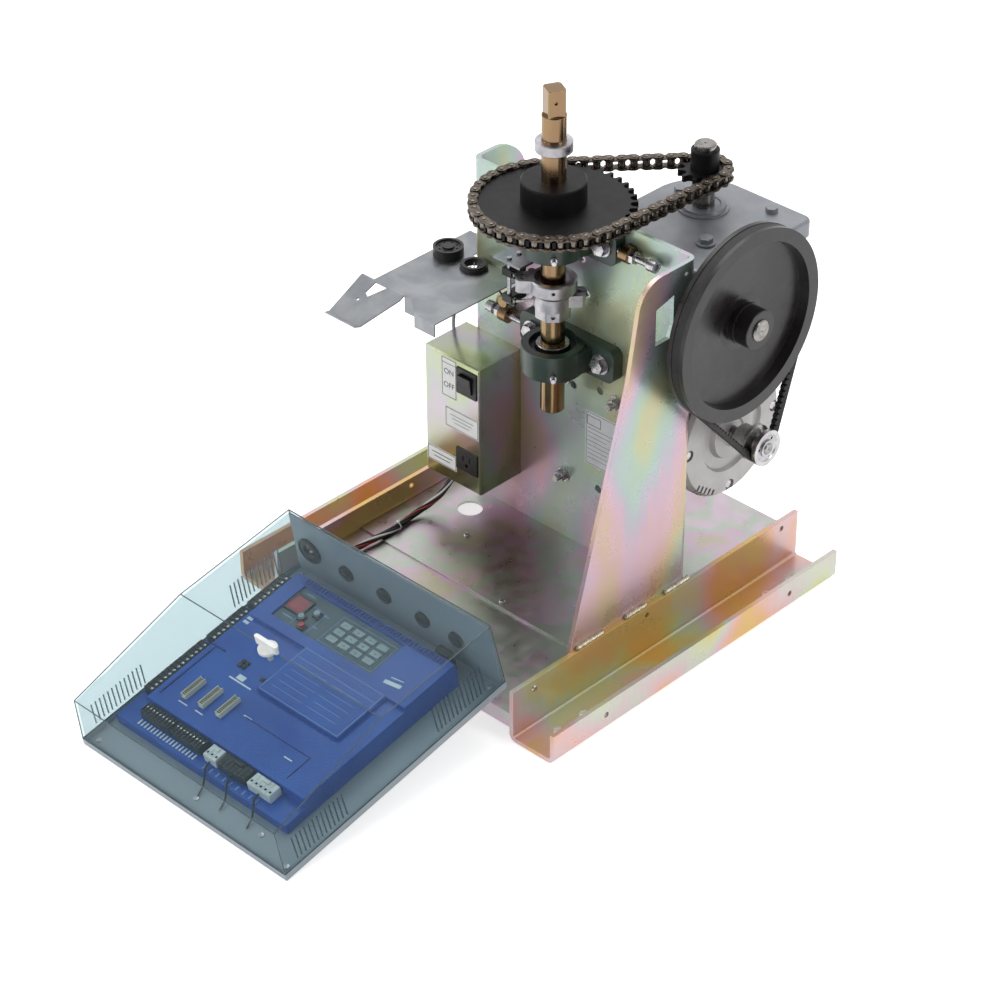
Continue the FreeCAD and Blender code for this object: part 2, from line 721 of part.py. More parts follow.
def make_frame_plate():
    """One plate folded to a Z: the bearing panel, the right side plate and the left gusset."""
    body = node("frame_plate")
    pad(body, "XZ", panel_front, panel_back, box(panel_left, rail_face, deck_top, frame_top))
    side = poly(
        (side_bottom, deck_top), (panel_back, deck_top), (panel_back, frame_top),
        (side_crown, frame_top), (side_knee, knee_height),
    )
    pad(body, "YZ", rail_face - steel, rail_face, side)
    gusset = poly(
        (panel_front, deck_top), (gusset_bottom, deck_top), (gusset_knee, knee_height),
        (gusset_crown, frame_top), (panel_front, frame_top),
    )
    pad(body, "YZ", panel_left, panel_left + steel, gusset)
    soften(body, crown_radius, (rail_face - steel / 2, side_crown, frame_top))
    soften(body, gusset_radius, (panel_left + steel / 2, gusset_crown, frame_top))
    middle = (deck_top + frame_top) / 2
    soften(body, bend, (rail_face - steel, panel_front, middle), (panel_left + steel, panel_back, middle))
    soften(body, bend + steel, (rail_face, panel_back, middle), (panel_left, panel_front, middle))
    corners = [(-18.5, 95.0), (8.0, 95.0), (14.0, 80.0), (14.0, 36.0), (-18.5, 44.0)]
    window = poly(*[(y, frame_top - drop) for y, drop in corners])
    cut(body, "YZ", rail_face - steel - 1, rail_face + 1, window, circle(36.0, frame_top - 15, 3.0))
    spots = [(14.5, -67.0), (61.5, -56.0), (61.0, -210.0), (27.0, 127.5), (36.0, 79.0)]
    holes = [circle(x, bearing_low + rise, panel_hole) for x, rise in spots]
    holes += [circle(x, z, mount_bolt + gap) for x, z in mount_spots]
    for z in (bearing_low, bearing_high):
        holes += [slot(shaft_x + s * bolt_half, z, slot_length, slot_width) for s in (-1, 1)]
    cut(body, "XZ", panel_front - 1, panel_back + 1, *holes)
    bead = poly(
        (rail_face, rail_inner), (rail_face + weld, rail_inner),
        (rail_face + weld * 0.6, rail_inner + weld * 0.6), (rail_face, rail_inner + weld),
    )
    for low, high in weld_runs:
        pad(body, "XZ", low, high, bead)


make_frame_plate()

# Output shaft and what turns with it


def make_output_shaft():
    """The output shaft: a groove and a round seat for the gate arm, with a square above it."""
    body = node("output_shaft")
    groove_low = seat_low - seat_groove
    slim = shaft_radius - seat_step
    turn(
        body, (0, shaft_low), (shaft_radius - 1, shaft_low), (shaft_radius, shaft_low + 1),
        (shaft_radius, groove_low), (slim, groove_low), (slim, seat_low), (shaft_radius, seat_low),
        (shaft_radius, square_low), (slim, square_low), (slim, shaft_high - 1), (slim - 1, shaft_high),
        (0, shaft_high),
    )
    half = square_flats / 2
    reach = shaft_radius + 5
    flats = [box(-reach, reach, -reach, reach), box(-half, half, -half, half)]
    cut(body, "XY", square_low, shaft_high + 1, *flats)
    cut(body, "YZ", half - 2.5, half + 1, circle(-2.0, square_low + 20, 2.4))
    place(body, shaft_x, shaft_y, 0, angle=square_turn)


def make_collar():
    """The locking collar over the sprocket, with its screw recess."""
    body = node("shaft_collar")
    turn(
        body, (shaft_radius + fit, 0), (collar_radius - 1, 0), (collar_radius, 1),
        (collar_radius, collar_width - 1), (collar_radius - 1, collar_width),
        (shaft_radius + fit, collar_width),
    )
    cut(body, "YZ", collar_radius - 4, collar_radius + 1, circle(0, collar_width / 2, 4.6))
    place(body, shaft_x, shaft_y, collar_low)


def make_cam(name, low, width, radius, reach, angle, dished):
    """A limit cam: a ring on the shaft with one flat-ended lobe, a screw hole and trim holes.

    A dished cam has its lobe over the whole width and a recess in its top. The other one has flats
    round its foot and its lobe on the upper half.
    """
    body = node(name)
    pad(body, "XY", 0, width, circle(0, 0, radius))
    half = lobe_width / 2
    tip = reach - lobe_bevel
    lobe = poly(
        (0, -half - lobe_bevel), (tip, -half), (reach, lobe_bevel - half), (reach, half - lobe_bevel),
        (tip, half), (0, half + lobe_bevel),
    )
    if dished:
        pad(body, "XY", 0, width, lobe)
    else:
        foot = width * 0.4
        flats = poly(*ring_points(0, 0, radius + 0.6, 8, 22.5))
        cut(body, "XY", -1, foot, box(-reach, reach, -reach, reach), flats)
        pad(body, "XY", width / 2, width, lobe)
    cut(body, "XY", -1, width + 1, circle(0, 0, shaft_radius + fit))
    if dished:
        cut(body, "XY", width - 7, width + 1, circle(0, 0, radius - 7))
        cut(body, "XY", -1, width + 1, circle(reach - 9, -5, 2.2), circle(reach - 9, 5, 2.2))
        cut(body, "XZ", radius - 5, radius + 1, circle(0, width / 2, 2.4))
    else:
        cut(body, "XZ", -radius - 1, 5 - radius, circle(0, foot / 2, 2.8))
        cut(body, "XY", -1, width + 1, circle(reach - 9, 0, 4.2))
        cut(body, "XY", width / 2 - 1, width + 1, box(reach - 9, reach + 1, -1.2, 1.2))
    soften(body, 2.0, (-radius, 0, width), kind="Chamfer")
    place(body, shaft_x, shaft_y, low, angle=angle)
    return body


make_output_shaft()
make_collar()
make_cam(
    "limit_cam_upper", upper_cam_low, upper_cam_width, upper_cam_radius, upper_lobe_reach,
    upper_lobe_turn, dished=True,
)
make_cam(
    "limit_cam_lower", lower_cam_low, lower_cam_width, lower_cam_radius, lower_lobe_reach,
    lower_lobe_turn, dished=False,
)

# Bearings


def make_block(name, height):
    """A pillow block: a ring on a foot that lies against the bearing panel."""
    body = node(name)
    half = block_height / 2
    face = bearing_rise - block_foot
    reach = block_length / 2
    pad(body, "XZ", face, bearing_rise, box(-reach, reach, -half, half))
    corners = [(s * reach, face + 1, t * half) for s in (-1, 1) for t in (-1, 1)]
    soften(body, 11.0, *corners)
    shoulder = block_radius + 4.5
    waist = block_radius - 1
    neck = poly((-waist, 0), (waist, 0), (shoulder, face + 2), (-shoulder, face + 2))
    pad(body, "XY", -block_width / 2 + 3, block_width / 2 - 3, neck)
    pad(body, "XY", -block_width / 2, block_width / 2, circle(0, 0, block_radius))
    cut(body, "XY", -block_width, block_width, circle(0, 0, insert_radius))
    slots = [slot(s * bolt_half, 0, slot_width + 6, slot_width) for s in (-1, 1)]
    cut(body, "XZ", face - 1, bearing_rise + 1, *slots)
    rims = [(0, -block_radius, t * block_width / 2) for t in (-1, 1)]
    soften(body, 1.5, *rims)
    place(body, shaft_x, shaft_y, height)


def make_bearing_inserts():
    """The outer races with their seals, held in the blocks, and the inner races, locked to the shaft."""
    seals, races = node("bearing_seals"), node("bearing_races")
    race = race_radius + gap
    half = race_width / 2
    bore = shaft_radius + fit
    for z in (bearing_low, bearing_high):
        turn(
            seals, (race, z - 12), (race + 1.5, z - 13), (insert_radius, z - 13),
            (insert_radius, z + 13), (race + 1.5, z + 13), (race, z + 12),
        )
        turn(
            races, (bore, z - half), (race_radius - 1, z - half), (race_radius, z - half + 1),
            (race_radius, z + half - 1), (race_radius - 1, z + half), (bore, z + half),
        )
    for body in (seals, races):
        place(body, shaft_x, shaft_y, 0)


make_block("pillow_block_lower", bearing_low)
make_block("pillow_block_upper", bearing_high)
make_bearing_inserts()


def make_bearing_bolts():
    """Four bolts with washers and nuts that clamp the blocks to the panel."""
    body = node("bearing_bolts")
    face = panel_front - block_foot
    spots = [(shaft_x + s * bolt_half, z) for z in (bearing_low, bearing_high) for s in (-1, 1)]
    pad(body, "XZ", face, panel_back, *[circle(x, z, bolt_radius) for x, z in spots])
    pad(body, "XZ", face - washer_sheet, face, *[circle(x, z, washer_radius) for x, z in spots])
    head = face - washer_sheet
    pad(body, "XZ", head - bolt_head, head, *[hexagon(x, z, bolt_flats, 10.0) for x, z in spots])
    rear = panel_back + washer_sheet
    pad(body, "XZ", panel_back, rear, *[circle(x, z, washer_radius) for x, z in spots])
    pad(body, "XZ", rear, rear + nut_height, *[hexagon(x, z, bolt_flats) for x, z in spots])


def make_grease_fittings():
    """Grease fittings at the front of both rings."""
    body = node("grease_fittings")
    reach = block_radius + fit
    levels = [bearing_low - 10, bearing_high - 10]
    pad(body, "YZ", reach, reach + 3, *[hexagon(0, z, 8.0) for z in levels])
    pad(body, "YZ", reach + 3, reach + 8, *[circle(0, z, 2.4) for z in levels])
    pad(body, "YZ", reach + 8, reach + 10, *[circle(0, z, 3.2) for z in levels])
    place(body, shaft_x, shaft_y, 0, angle=-45.8)


make_bearing_bolts()
make_grease_fittings()

foot_right = shaft_x + block_length / 2
foot_left = shaft_x - block_length / 2


def make_jacks():
    """Jack screws that push the bearing feet sideways to tension the chain, in bosses on the panel."""
    bosses, screws = node("panel_bosses"), node("jack_screws")
    for z, boss, side, foot, slack in (
        (bearing_high, right_boss, 1, foot_right, 22),
        (bearing_low, left_boss, -1, foot_left, 5),
    ):
        outer = boss + side * boss_width
        saddle = box(jack_y + 2, panel_front, z - 8, z + 8)
        pad(bosses, "YZ", *ordered(boss, outer), circle(jack_y, z, jack_boss))
        pad(bosses, "YZ", *ordered(boss, outer), saddle)
        bore = circle(jack_y, z, jack_screw + gap)
        cut(bosses, "YZ", *ordered(boss - side, outer + side), bore)
        nut_end = outer + side * jack_nut
        throat = nut_end + side * slack
        end = throat + side * 12
        pad(screws, "YZ", *ordered(foot + side * gap, throat), circle(jack_y, z, jack_screw))
        pad(screws, "YZ", *ordered(outer, nut_end), hexagon(jack_y, z, 16.0))
        pad(screws, "YZ", *ordered(throat, end), circle(jack_y, z, jack_head))
        cut(screws, "YZ", *ordered(end - side * 5, end + side), hexagon(jack_y, z, 8.0))
    pad(bosses, "XZ", panel_front - post_reach, panel_front, circle(post_x, post_z, post_radius))


make_jacks()

# Chain drive

CHAIN_PITCHES = 54
DRIVEN_TEETH = 40
DRIVING_TEETH = 12


def pitch_radius(teeth):
    return pitch.value / 2 / math.sin(math.pi / teeth)


def chain_spots(distance):
    """Pin places along the loop round both wheels, walked pin by pin, and the error in closing it.

    The driven wheel is at the origin and the driving wheel at the distance along X.
    """
    big, small = pitch_radius(DRIVEN_TEETH), pitch_radius(DRIVING_TEETH)
    lean = math.acos((big - small) / distance)
    straight = math.sqrt(distance**2 - (big - small) ** 2)
    big_arc = big * (2 * math.pi - 2 * lean)
    small_arc = small * 2 * lean
    whole = big_arc + small_arc + 2 * straight

    def spot(way):
        way = way % whole
        if way < big_arc:
            t = lean + way / big
            return big * math.cos(t), big * math.sin(t)
        way -= big_arc
        if way < straight:
            t = -lean
            share = way / straight
            x = big * math.cos(t) * (1 - share) + (distance + small * math.cos(t)) * share
            return x, big * math.sin(t) * (1 - share) + small * math.sin(t) * share
        way -= straight
        if way < small_arc:
            t = -lean + way / small
            return distance + small * math.cos(t), small * math.sin(t)
        share = (way - small_arc) / straight
        x = (distance + small * math.cos(lean)) * (1 - share) + big * math.cos(lean) * share
        return x, small * math.sin(lean) * (1 - share) + big * math.sin(lean) * share

    way, spots = 0.0, []
    for i in range(CHAIN_PITCHES):
        spots.append(spot(way))
        low, high = way + pitch.value * 0.9, way + pitch.value * 1.2
        for step in range(60):
            middle = (low + high) / 2
            if math.dist(spot(way), spot(middle)) < pitch.value:
                low = middle
            else:
                high = middle
        way = low
    return spots, way - whole


def solve_distance():
    """The centre distance at which the chain closes on itself."""
    straight_guess = (CHAIN_PITCHES - DRIVEN_TEETH / 2 - DRIVING_TEETH / 2) * pitch.value / 2
    low, high = straight_guess * 0.7, straight_guess * 1.2
    for step in range(60):
        middle = (low + high) / 2
        if chain_spots(middle)[1] > 0:
            low = middle
        else:
            high = middle
    return low


chain_distance = size("chain_centre_distance", solve_distance())
pins = chain_spots(chain_distance.value)[0]
drive_x = shaft_x + chain_distance * cosine(drive_direction)
drive_y = shaft_y + chain_distance * sine(drive_direction)


def wheel_phase(centre, radius):
    """The angle of a pin that sits in a tooth gap, near the middle of the wheel's wrap."""
    held = [(x - centre, y) for x, y in pins if abs(math.hypot(x - centre, y) - radius) < 1e-4]
    x, y = held[len(held) // 2]
    return math.degrees(math.atan2(y, x))


def tooth_gap(radius, seat, tip, flare):
    """The space between two teeth: a round seat for a roller, open to the outside."""

    def add(sketch):
        first = sketch.GeometryCount
        above, below = at(radius, seat, 0), at(radius, -seat, 0)
        outer_low, outer_high = at(tip, -flare, 0), at(tip, flare, 0)
        sketch.addGeometry(
            [
                Part.Arc(above, at(radius - seat, 0, 0), below),
                Part.LineSegment(below, outer_low),
                Part.LineSegment(outer_low, outer_high),
                Part.LineSegment(outer_high, above),
            ],
            False,
        )
        rules = []
        for i in range(4):
            after = first + (i + 1) % 4
            rules.append((Sketcher.Constraint("Coincident", first + i, 2, after, 1), None))
        rules += fix(first + 1, 1, radius, -seat)
        rules += fix(first + 2, 1, tip, -flare)
        rules += fix(first + 3, 1, tip, flare)
        rules += fix(first + 3, 2, radius, seat)
        rules.append(fix(first, 3, radius, 0)[0])
        constrain(sketch, rules)

    return add


def make_sprocket(name, teeth, centre, hub, top, bore):
    """A plate sprocket: tooth gaps are cut where the chain's rollers lie, with a hub above."""
    body = node(name)
    radius = pitch_radius(teeth)
    tip = pitch * 0.3 + radius * math.cos(math.pi / teeth)
    half = sprocket_width / 2
    pad(body, "XY", chain_height - half, chain_height + half, circle(0, 0, tip))
    pad(body, "XY", chain_height + half - 1, top, circle(0, 0, hub))
    flare = 6.4 if teeth > 20 else 7.8
    gap_shape = tooth_gap(radius, roller_radius + seat_play, tip + 1, flare)
    gap_cut = cut(body, "XY", chain_height - half - 1, chain_height + half + 1, gap_shape)
    around(body, gap_cut, teeth)
    cut(body, "XY", chain_height - half - 1, top + 1, circle(0, 0, bore + fit))
    soften(body, 1.5, (-hub, 0, top), kind="Chamfer")
    phase = drive_direction + wheel_phase(centre, radius)
    x, y = (shaft_x, shaft_y) if centre == 0 else (drive_x, drive_y)
    place(body, x, y, 0, angle=phase)
    return body


make_sprocket("drive_sprocket", DRIVEN_TEETH, 0.0, hub_radius, hub_top, shaft_radius)
make_sprocket(
    "pinion_sprocket", DRIVING_TEETH, chain_distance.value, small_hub_radius, small_hub_top, drive_radius
)


def slab(points, low, high):
    """A flat solid through the points between two levels."""
    corners = [V(x, y, low) for x, y in points]
    return Part.Face(Part.makePolygon(corners + corners[:1])).extrude(V(0, 0, high - low))


def link_outline(radius):
    """A link plate's outline with a waist, for pins at 0 and at one pitch."""
    ends = [90, 135, 180, 225, 270]
    left = [(radius * math.cos(math.radians(t)), radius * math.sin(math.radians(t))) for t in ends]
    waist = radius * 0.78
    right = [(pitch.value - x, -y) for x, y in left]
    return left + [(pitch.value / 2, -waist)] + right + [(pitch.value / 2, waist)]


def octagon(x, radius):
    return [(a.value, b.value) for a, b in ring_points(x, 0.0, radius, 8, 22.5)]


def make_chain():
    """The roller chain: inner links carry the rollers, outer plates with their pins lie beside them."""
    half = roller_width.value / 2
    sheet_z = link_sheet.value
    inner_z = half + sheet_z
    inner = slab(octagon(0.0, roller_radius.value), -half, half)
    inner = inner.fuse(slab(octagon(pitch.value, roller_radius.value), -half, half))
    outline = link_outline(link_radius.value)
    inner = inner.fuse([slab(outline, half, inner_z), slab(outline, -inner_z, -half)])
    outer_z = inner_z + sheet_z
    outline = link_outline(link_radius.value - 0.6)
    outer = []
    for side in (-1, 1):
        low, high = sorted([side * inner_z, side * outer_z])
        plate = slab(outline, low, high)
        low, high = sorted([side * outer_z, side * (outer_z + pin_proud.value)])
        heads = [slab(octagon(x, pin_radius.value), low, high) for x in (0.0, pitch.value)]
        outer.append(plate.fuse(heads))
    solids = []
    for i, (x, y) in enumerate(pins):
        ahead = pins[(i + 1) % len(pins)]
        angle = math.degrees(math.atan2(ahead[1] - y, ahead[0] - x))
        spot = FreeCAD.Placement(V(x, y, 0), FreeCAD.Rotation(V(0, 0, 1), angle))
        for shape in [inner] if i % 2 == 0 else outer:
            copy = shape.copy()
            copy.Placement = spot
            solids.append(copy)
    chain = free_node("roller_chain", Part.makeCompound(solids))
    place(chain, shaft_x, shaft_y, chain_height, angle=drive_direction)


make_chain()

# Worm reducer


def make_reducer():
    """The reducer's case: a flat-topped casting, round about the wheel, with worm caps at its sides."""
    body = node("reducer_case")
    pad(body, "XY", shelf_top, case_top, box(-case_left, case_right, -case_front, case_back))
    middle = (shelf_top + case_top) / 2
    soften(body, case_corner, (-case_left, case_back, middle))
    sharp = [(-case_left, -case_front), (case_right, -case_front), (case_right, case_back)]
    soften(body, case_bend, *[(x, y, middle) for x, y in sharp])
    soften(body, 5.0, (0, case_back, case_top))
    # a waist runs round the case between its foot and its lid
    left, right = case_waist - case_left, case_right - case_waist
    front, back = case_waist - case_front, case_back - case_waist
    inner = poly((left, front), (right, front), (right, back), (20, back), (left, 20))
    reach = case_left + case_right
    around_it = box(-reach, reach, -reach, reach)
    cut(body, "XY", shelf_top + case_foot, case_top - case_lid, around_it, inner)
    worm_seat = circle(worm_y - drive_y, worm_z, worm_cap)
    pad(body, "YZ", right - 1, case_right, worm_seat)
    place(body, drive_x, drive_y, 0)
    return body


def make_reducer_caps():
    """The flanges of both shaft seals, and the plugs and bolts in the case's lid."""
    body = node("reducer_caps")
    bore = drive_radius + fit
    step = seal_height / 3
    crown = case_top + seal_height
    turn(
        body, (bore, case_top), (seal_radius, case_top), (seal_radius, case_top + step),
        (seal_radius - 4, case_top + step), (seal_radius - 5, crown), (seal_radius - 11, crown),
        (seal_radius - 12, crown - step), (bore, crown - step),
    )
    plug = (64.4, -69.6)
    bolts = [(71.4, 50.4), (-50.0, -110.0), (-48.0, 10.0)]
    pad(body, "XY", case_top, case_top + 3, circle(*plug, 13.0))
    pad(body, "XY", case_top + 3, case_top + 9, hexagon(*plug, 16.0))
    pad(body, "XY", case_top, case_top + 6.4, *[hexagon(x, y, 14.0) for x, y in bolts])
    outside = case_right + worm_cap_width
    y = worm_y - drive_y
    pad(body, "YZ", case_right, outside, circle(y, worm_z, worm_cap), circle(y, worm_z, bore))
    spots = ring_points(y, worm_z, worm_cap - 8, 4, 45.0)
    pad(body, "YZ", outside, outside + 4, *[hexagon(across, z, 10.0) for across, z in spots])
    place(body, drive_x, drive_y, 0)


case = make_reducer()
cut(case, "XY", case_top - wheel_depth, case_top + 1, circle(0, 0, drive_radius + fit))
worm_hole = circle(worm_y - drive_y, worm_z, drive_radius + fit)
cut(case, "YZ", case_right - wheel_depth, case_right + 1, worm_hole)
make_reducer_caps()


def make_reducer_shafts():
    """The slow shaft upward to the pinion, and the worm's shaft out to the sheave."""
    body = node("reducer_output_shaft")
    low = case_top - wheel_depth + 1
    turn(
        body, (0, low), (drive_radius, low), (drive_radius, drive_top - 1.5),
        (drive_radius - 1.5, drive_top), (2, drive_top), (0, drive_top - 2),
    )
    place(body, drive_x, drive_y, 0)
    body = node("worm_shaft")
    low = drive_x + case_right - wheel_depth + 1
    turn(
        body, (0, low), (drive_radius, low), (drive_radius, worm_shaft_end - 1.5),
        (drive_radius - 1.5, worm_shaft_end), (2, worm_shaft_end), (0, worm_shaft_end - 2),
    )
    place(body, 0, worm_y, worm_z, axis=(0, 1, 0), angle=90.0)


def make_reducer_shelf():
    """The plate welded across the panel and the gusset, with the reducer on it."""
    body = node("reducer_shelf")
    low = shelf_top - steel
    left = panel_left + steel
    outline = poly(
        (left, panel_back), (shelf_right, panel_back), (shelf_right, shelf_back), (left + 120, shelf_back),
        (left, panel_back + 100),
    )
    pad(body, "XY", low, shelf_top, outline)
    soften(body, bend, (left, panel_back, shelf_top - 1), kind="Chamfer")
    spots = [(s * 60 + drive_x, t) for s in (-1, 1.6) for t in (panel_back + 22, shelf_back - 22)]
    pad(body, "XY", low - 8, low, *[hexagon(x, y, 14.0) for x, y in spots])


make_reducer_shafts()
make_reducer_shelf()

# Belt drive


def groove(radius, middle):
    """The corners of the V groove, from its lower rim to its upper rim."""
    foot = groove_half - groove_depth * groove_slope
    return [
        (radius, middle - groove_half), (radius - groove_depth, middle - foot),
        (radius - groove_depth, middle + foot), (radius, middle + groove_half),
    ]


def make_driven_sheave():
    """The large sheave: a dished web between the grooved rim and a long hub."""
    body = node("driven_sheave")
    low, high = belt_plane - sheave_width / 2, belt_plane + sheave_width / 2
    rim_in = sheave_radius - groove_depth - 7
    bore = drive_radius + fit
    back = low - 6
    turn(
        body, (bore, back), (sheave_hub + 4, back), (sheave_hub + 8, low - 1), (rim_in - 4, low + 2),
        (rim_in, low), (sheave_radius, low),
        *groove(sheave_radius, belt_plane),
        (sheave_radius, high), (rim_in, high), (rim_in - 3, low + 11), (sheave_hub + 12, low + 7),
        (sheave_hub, low + 8), (sheave_hub, belt_plane + 2), (sheave_hub + 2, belt_plane + 2),
        (sheave_hub + 2, belt_plane + 5), (sheave_hub, belt_plane + 5),
        (sheave_hub, sheave_nose - 1), (sheave_hub - 1, sheave_nose), (bore, sheave_nose),
    )
    cut(body, "YZ", sheave_hub - 6, sheave_hub + 1, circle(0, sheave_nose - 9, 3.6))
    place(body, 0, worm_y, worm_z, axis=(0, 1, 0), angle=90.0)


def make_drive_sheave():
    """The small sheave on the motor's shaft."""
    body = node("drive_sheave")
    low, high = belt_plane - sheave_width / 2, belt_plane + sheave_width / 2
    bore = motor_shaft_radius + fit
    neck = pinion_sheave_neck
    turn(
        body, (bore, low - 20), (neck - 1, low - 20), (neck, low - 19), (neck, low), (pinion_sheave, low),
        *groove(pinion_sheave, belt_plane),
        (pinion_sheave, high), (pinion_sheave - 6, high), (pinion_sheave - 8, high - 1.5),
        (12, high - 1.5), (12, high + 1), (bore, high + 1),
    )
    spots = ring_points(0, 0, 14.8, 3, 20.0)
    cut(body, "XY", high - 7, high + 2, *[circle(x, y, 2.0) for x, y in spots])
    place(body, 0, motor_y, motor_z, axis=(0, 1, 0), angle=90.0)


def make_belt():
    """The V belt: its section swept round both sheaves."""
    big = sheave_radius.value - belt_sink.value
    small = pinion_sheave.value - belt_sink.value
    first = V(belt_plane.value, worm_y.value, worm_z.value)
    second = V(belt_plane.value, motor_y.value, motor_z.value)
    line = second - first
    lean = math.acos((big - small) / line.Length)
    base = math.atan2(line.z, line.y)

    def rim_spot(centre, radius, angle):
        return centre + V(0, radius * math.cos(angle), radius * math.sin(angle))

    leave, arrive = base - lean, base + lean
    a, b = rim_spot(first, big, leave), rim_spot(second, small, leave)
    c, d = rim_spot(second, small, arrive), rim_spot(first, big, arrive)
    far, near = rim_spot(first, big, base + math.pi), rim_spot(second, small, base)
    path = Part.Wire(
        [
            Part.LineSegment(a, b).toShape(),
            Part.Arc(b, near, c).toShape(),
            Part.LineSegment(c, d).toShape(),
            Part.Arc(d, far, a).toShape(),
        ]
    )
    top = (groove_half - belt_sink * groove_slope - belt_side_gap).value
    foot = (groove_half - (belt_sink + belt_height) * groove_slope - belt_side_gap).value
    inward = (rim_spot(first, 1, leave) - first) * -belt_height.value
    across = V(1, 0, 0)
    corners = [a - across * top, a + across * top, a + inward + across * foot, a + inward - across * foot]
    section = Part.makePolygon(corners + corners[:1])
    free_node("v_belt", path.makePipeShell([section], True, True))


make_driven_sheave()
make_drive_sheave()
make_belt()

# Motor


def make_motor():
    """The motor along X behind the panel: shell, two end bells, shaft, base and its bolts."""
    body = node("motor_shell")
    turn(body, (0, shell_left), (shell_radius, shell_left), (shell_radius, shell_right), (0, shell_right))
    place(body, 0, motor_y, motor_z, axis=(0, 1, 0), angle=90.0)

    body = node("motor_bells")
    face = motor_face
    seat = motor_shaft_radius + fit
    turn(
        body, (0, shell_right), (shell_radius + 3, shell_right), (bell_radius - 2, shell_right + 14),
        (bell_radius, shell_right + 22), (bell_radius, face - 6), (bell_radius - 5, face), (58, face),
        (55, face - 5), (40, face - 5), (37, face + 3), (20, face + 3), (18, face + 1), (seat, face + 1),
        (seat, face - 20), (0, face - 20),
    )
    recesses = [circle(x, y, 8.0) for x, y in ring_points(0, 0, motor_bolt_circle, 4)]
    cut(body, "XY", face - 8, face + 1, *recesses)
    slits = [box(comb_depth, bell_radius + 2, t - 2.2, t + 2.2) for t in (-18, -9, 0, 9, 18)]
    vent = cut(body, "XY", face - 14, face + 1, *slits)
    comb_turn = FreeCAD.Rotation(V(0, 0, -1), comb_direction.value)
    vent.Profile[0].AttachmentOffset = FreeCAD.Placement(at(0, 0, face + 1), comb_turn)
    bind(vent.Profile[0], "AttachmentOffset.Rotation.Angle", comb_direction)
    turn(
        body, (0, bell_left), (38, bell_left), (60, bell_left + 8), (shell_radius - 2, bell_left + 26),
        (shell_radius + 2, shell_left - 6), (shell_radius + 2, shell_left), (0, shell_left),
    )
    place(body, 0, motor_y, motor_z, axis=(0, 1, 0), angle=90.0)

    body = node("motor_shaft")
    low, high = motor_face - 18, belt_plane + sheave_width / 2 + 2.5
    turn(
        body, (0, low), (motor_shaft_radius, low), (motor_shaft_radius, high - 1),
        (motor_shaft_radius - 1, high), (1.6, high), (0, high - 1.6),
    )
    place(body, 0, motor_y, motor_z, axis=(0, 1, 0), angle=90.0)

    body = node("motor_base")
    edge = 17
    back = panel_back + base_sheet
    plate = box(mount_left - edge, mount_right + edge, mount_low - edge, mount_high + edge)
    pad(body, "XZ", panel_back, back, plate)
    saddles = [box(x - 12, x + 12, motor_z - 52, motor_z + 30) for x in (mount_left + 14, mount_right - 14)]
    pad(body, "XZ", back, motor_y - 58, *saddles)
    cut(body, "YZ", mount_left - edge - 1, mount_right + edge + 1, circle(motor_y, motor_z, shell_radius))
    holes = [circle(x, z, mount_bolt + gap) for x, z in mount_spots]
    cut(body, "XZ", panel_back - 1, back + 1, *holes)

    body = node("motor_bolts")
    front = panel_front - 2
    pad(body, "XZ", panel_front - 17, back, *[circle(x, z, mount_bolt) for x, z in mount_spots])
    pad(body, "XZ", front, panel_front, *[circle(x, z, 11.0) for x, z in mount_spots])
    pad(body, "XZ", front - 8, front, *[hexagon(x, z, 14.3) for x, z in mount_spots])
    pad(body, "XZ", back, back + 6, *[hexagon(x, z, 14.3) for x, z in mount_spots])
    spots = ring_points(motor_y, motor_z, motor_bolt_circle, 4)
    pad(body, "YZ", motor_face - 8, motor_face - 2, *[hexagon(y, z, 10.0) for y, z in spots])


make_motor()

# Power box


def make_power_box():
    """The box for mains switch and receptacle: a folded cover closed by the bearing panel."""
    body = node("power_box")
    pad(body, "XZ", power_front, panel_front, box(power_left, power_right, power_low, power_high))
    edges = [(x, power_front, switch_z) for x in (power_left, power_right)]
    edges += [(switch_x, power_front, z) for z in (power_low, power_high)]
    soften(body, 2.5, *edges)
    left, right = power_left + box_sheet, power_right - box_sheet
    inside = box(left, right, power_low + box_sheet, power_high - box_sheet)
    cut(body, "XZ", power_front + box_sheet, panel_front + 1, inside)
    hole_x, hole_z = rocker_half_x - rocker_body, rocker_half_z - rocker_body
    rocker_hole = box_about(switch_x, switch_z, hole_x, hole_z)
    outlet_hole = box_about(outlet_x, outlet_z, outlet_half_x, outlet_half_z)
    cut(body, "XZ", power_front - 1, power_front + box_sheet + 1, rocker_hole, outlet_hole)
    harness_way = circle(harness_x, harness_y, harness_hole)
    cut(body, "XY", power_low - 1, power_low + box_sheet + 1, harness_way)
    lead_way = circle(lead_hole_y, power_high - lead_hole_drop, lead_hole)
    screw_hole = circle(box_screw_y, box_screw_z, screw_radius + gap)
    cut(body, "YZ", power_left - 1, power_left + box_sheet + 1, screw_hole, lead_way)


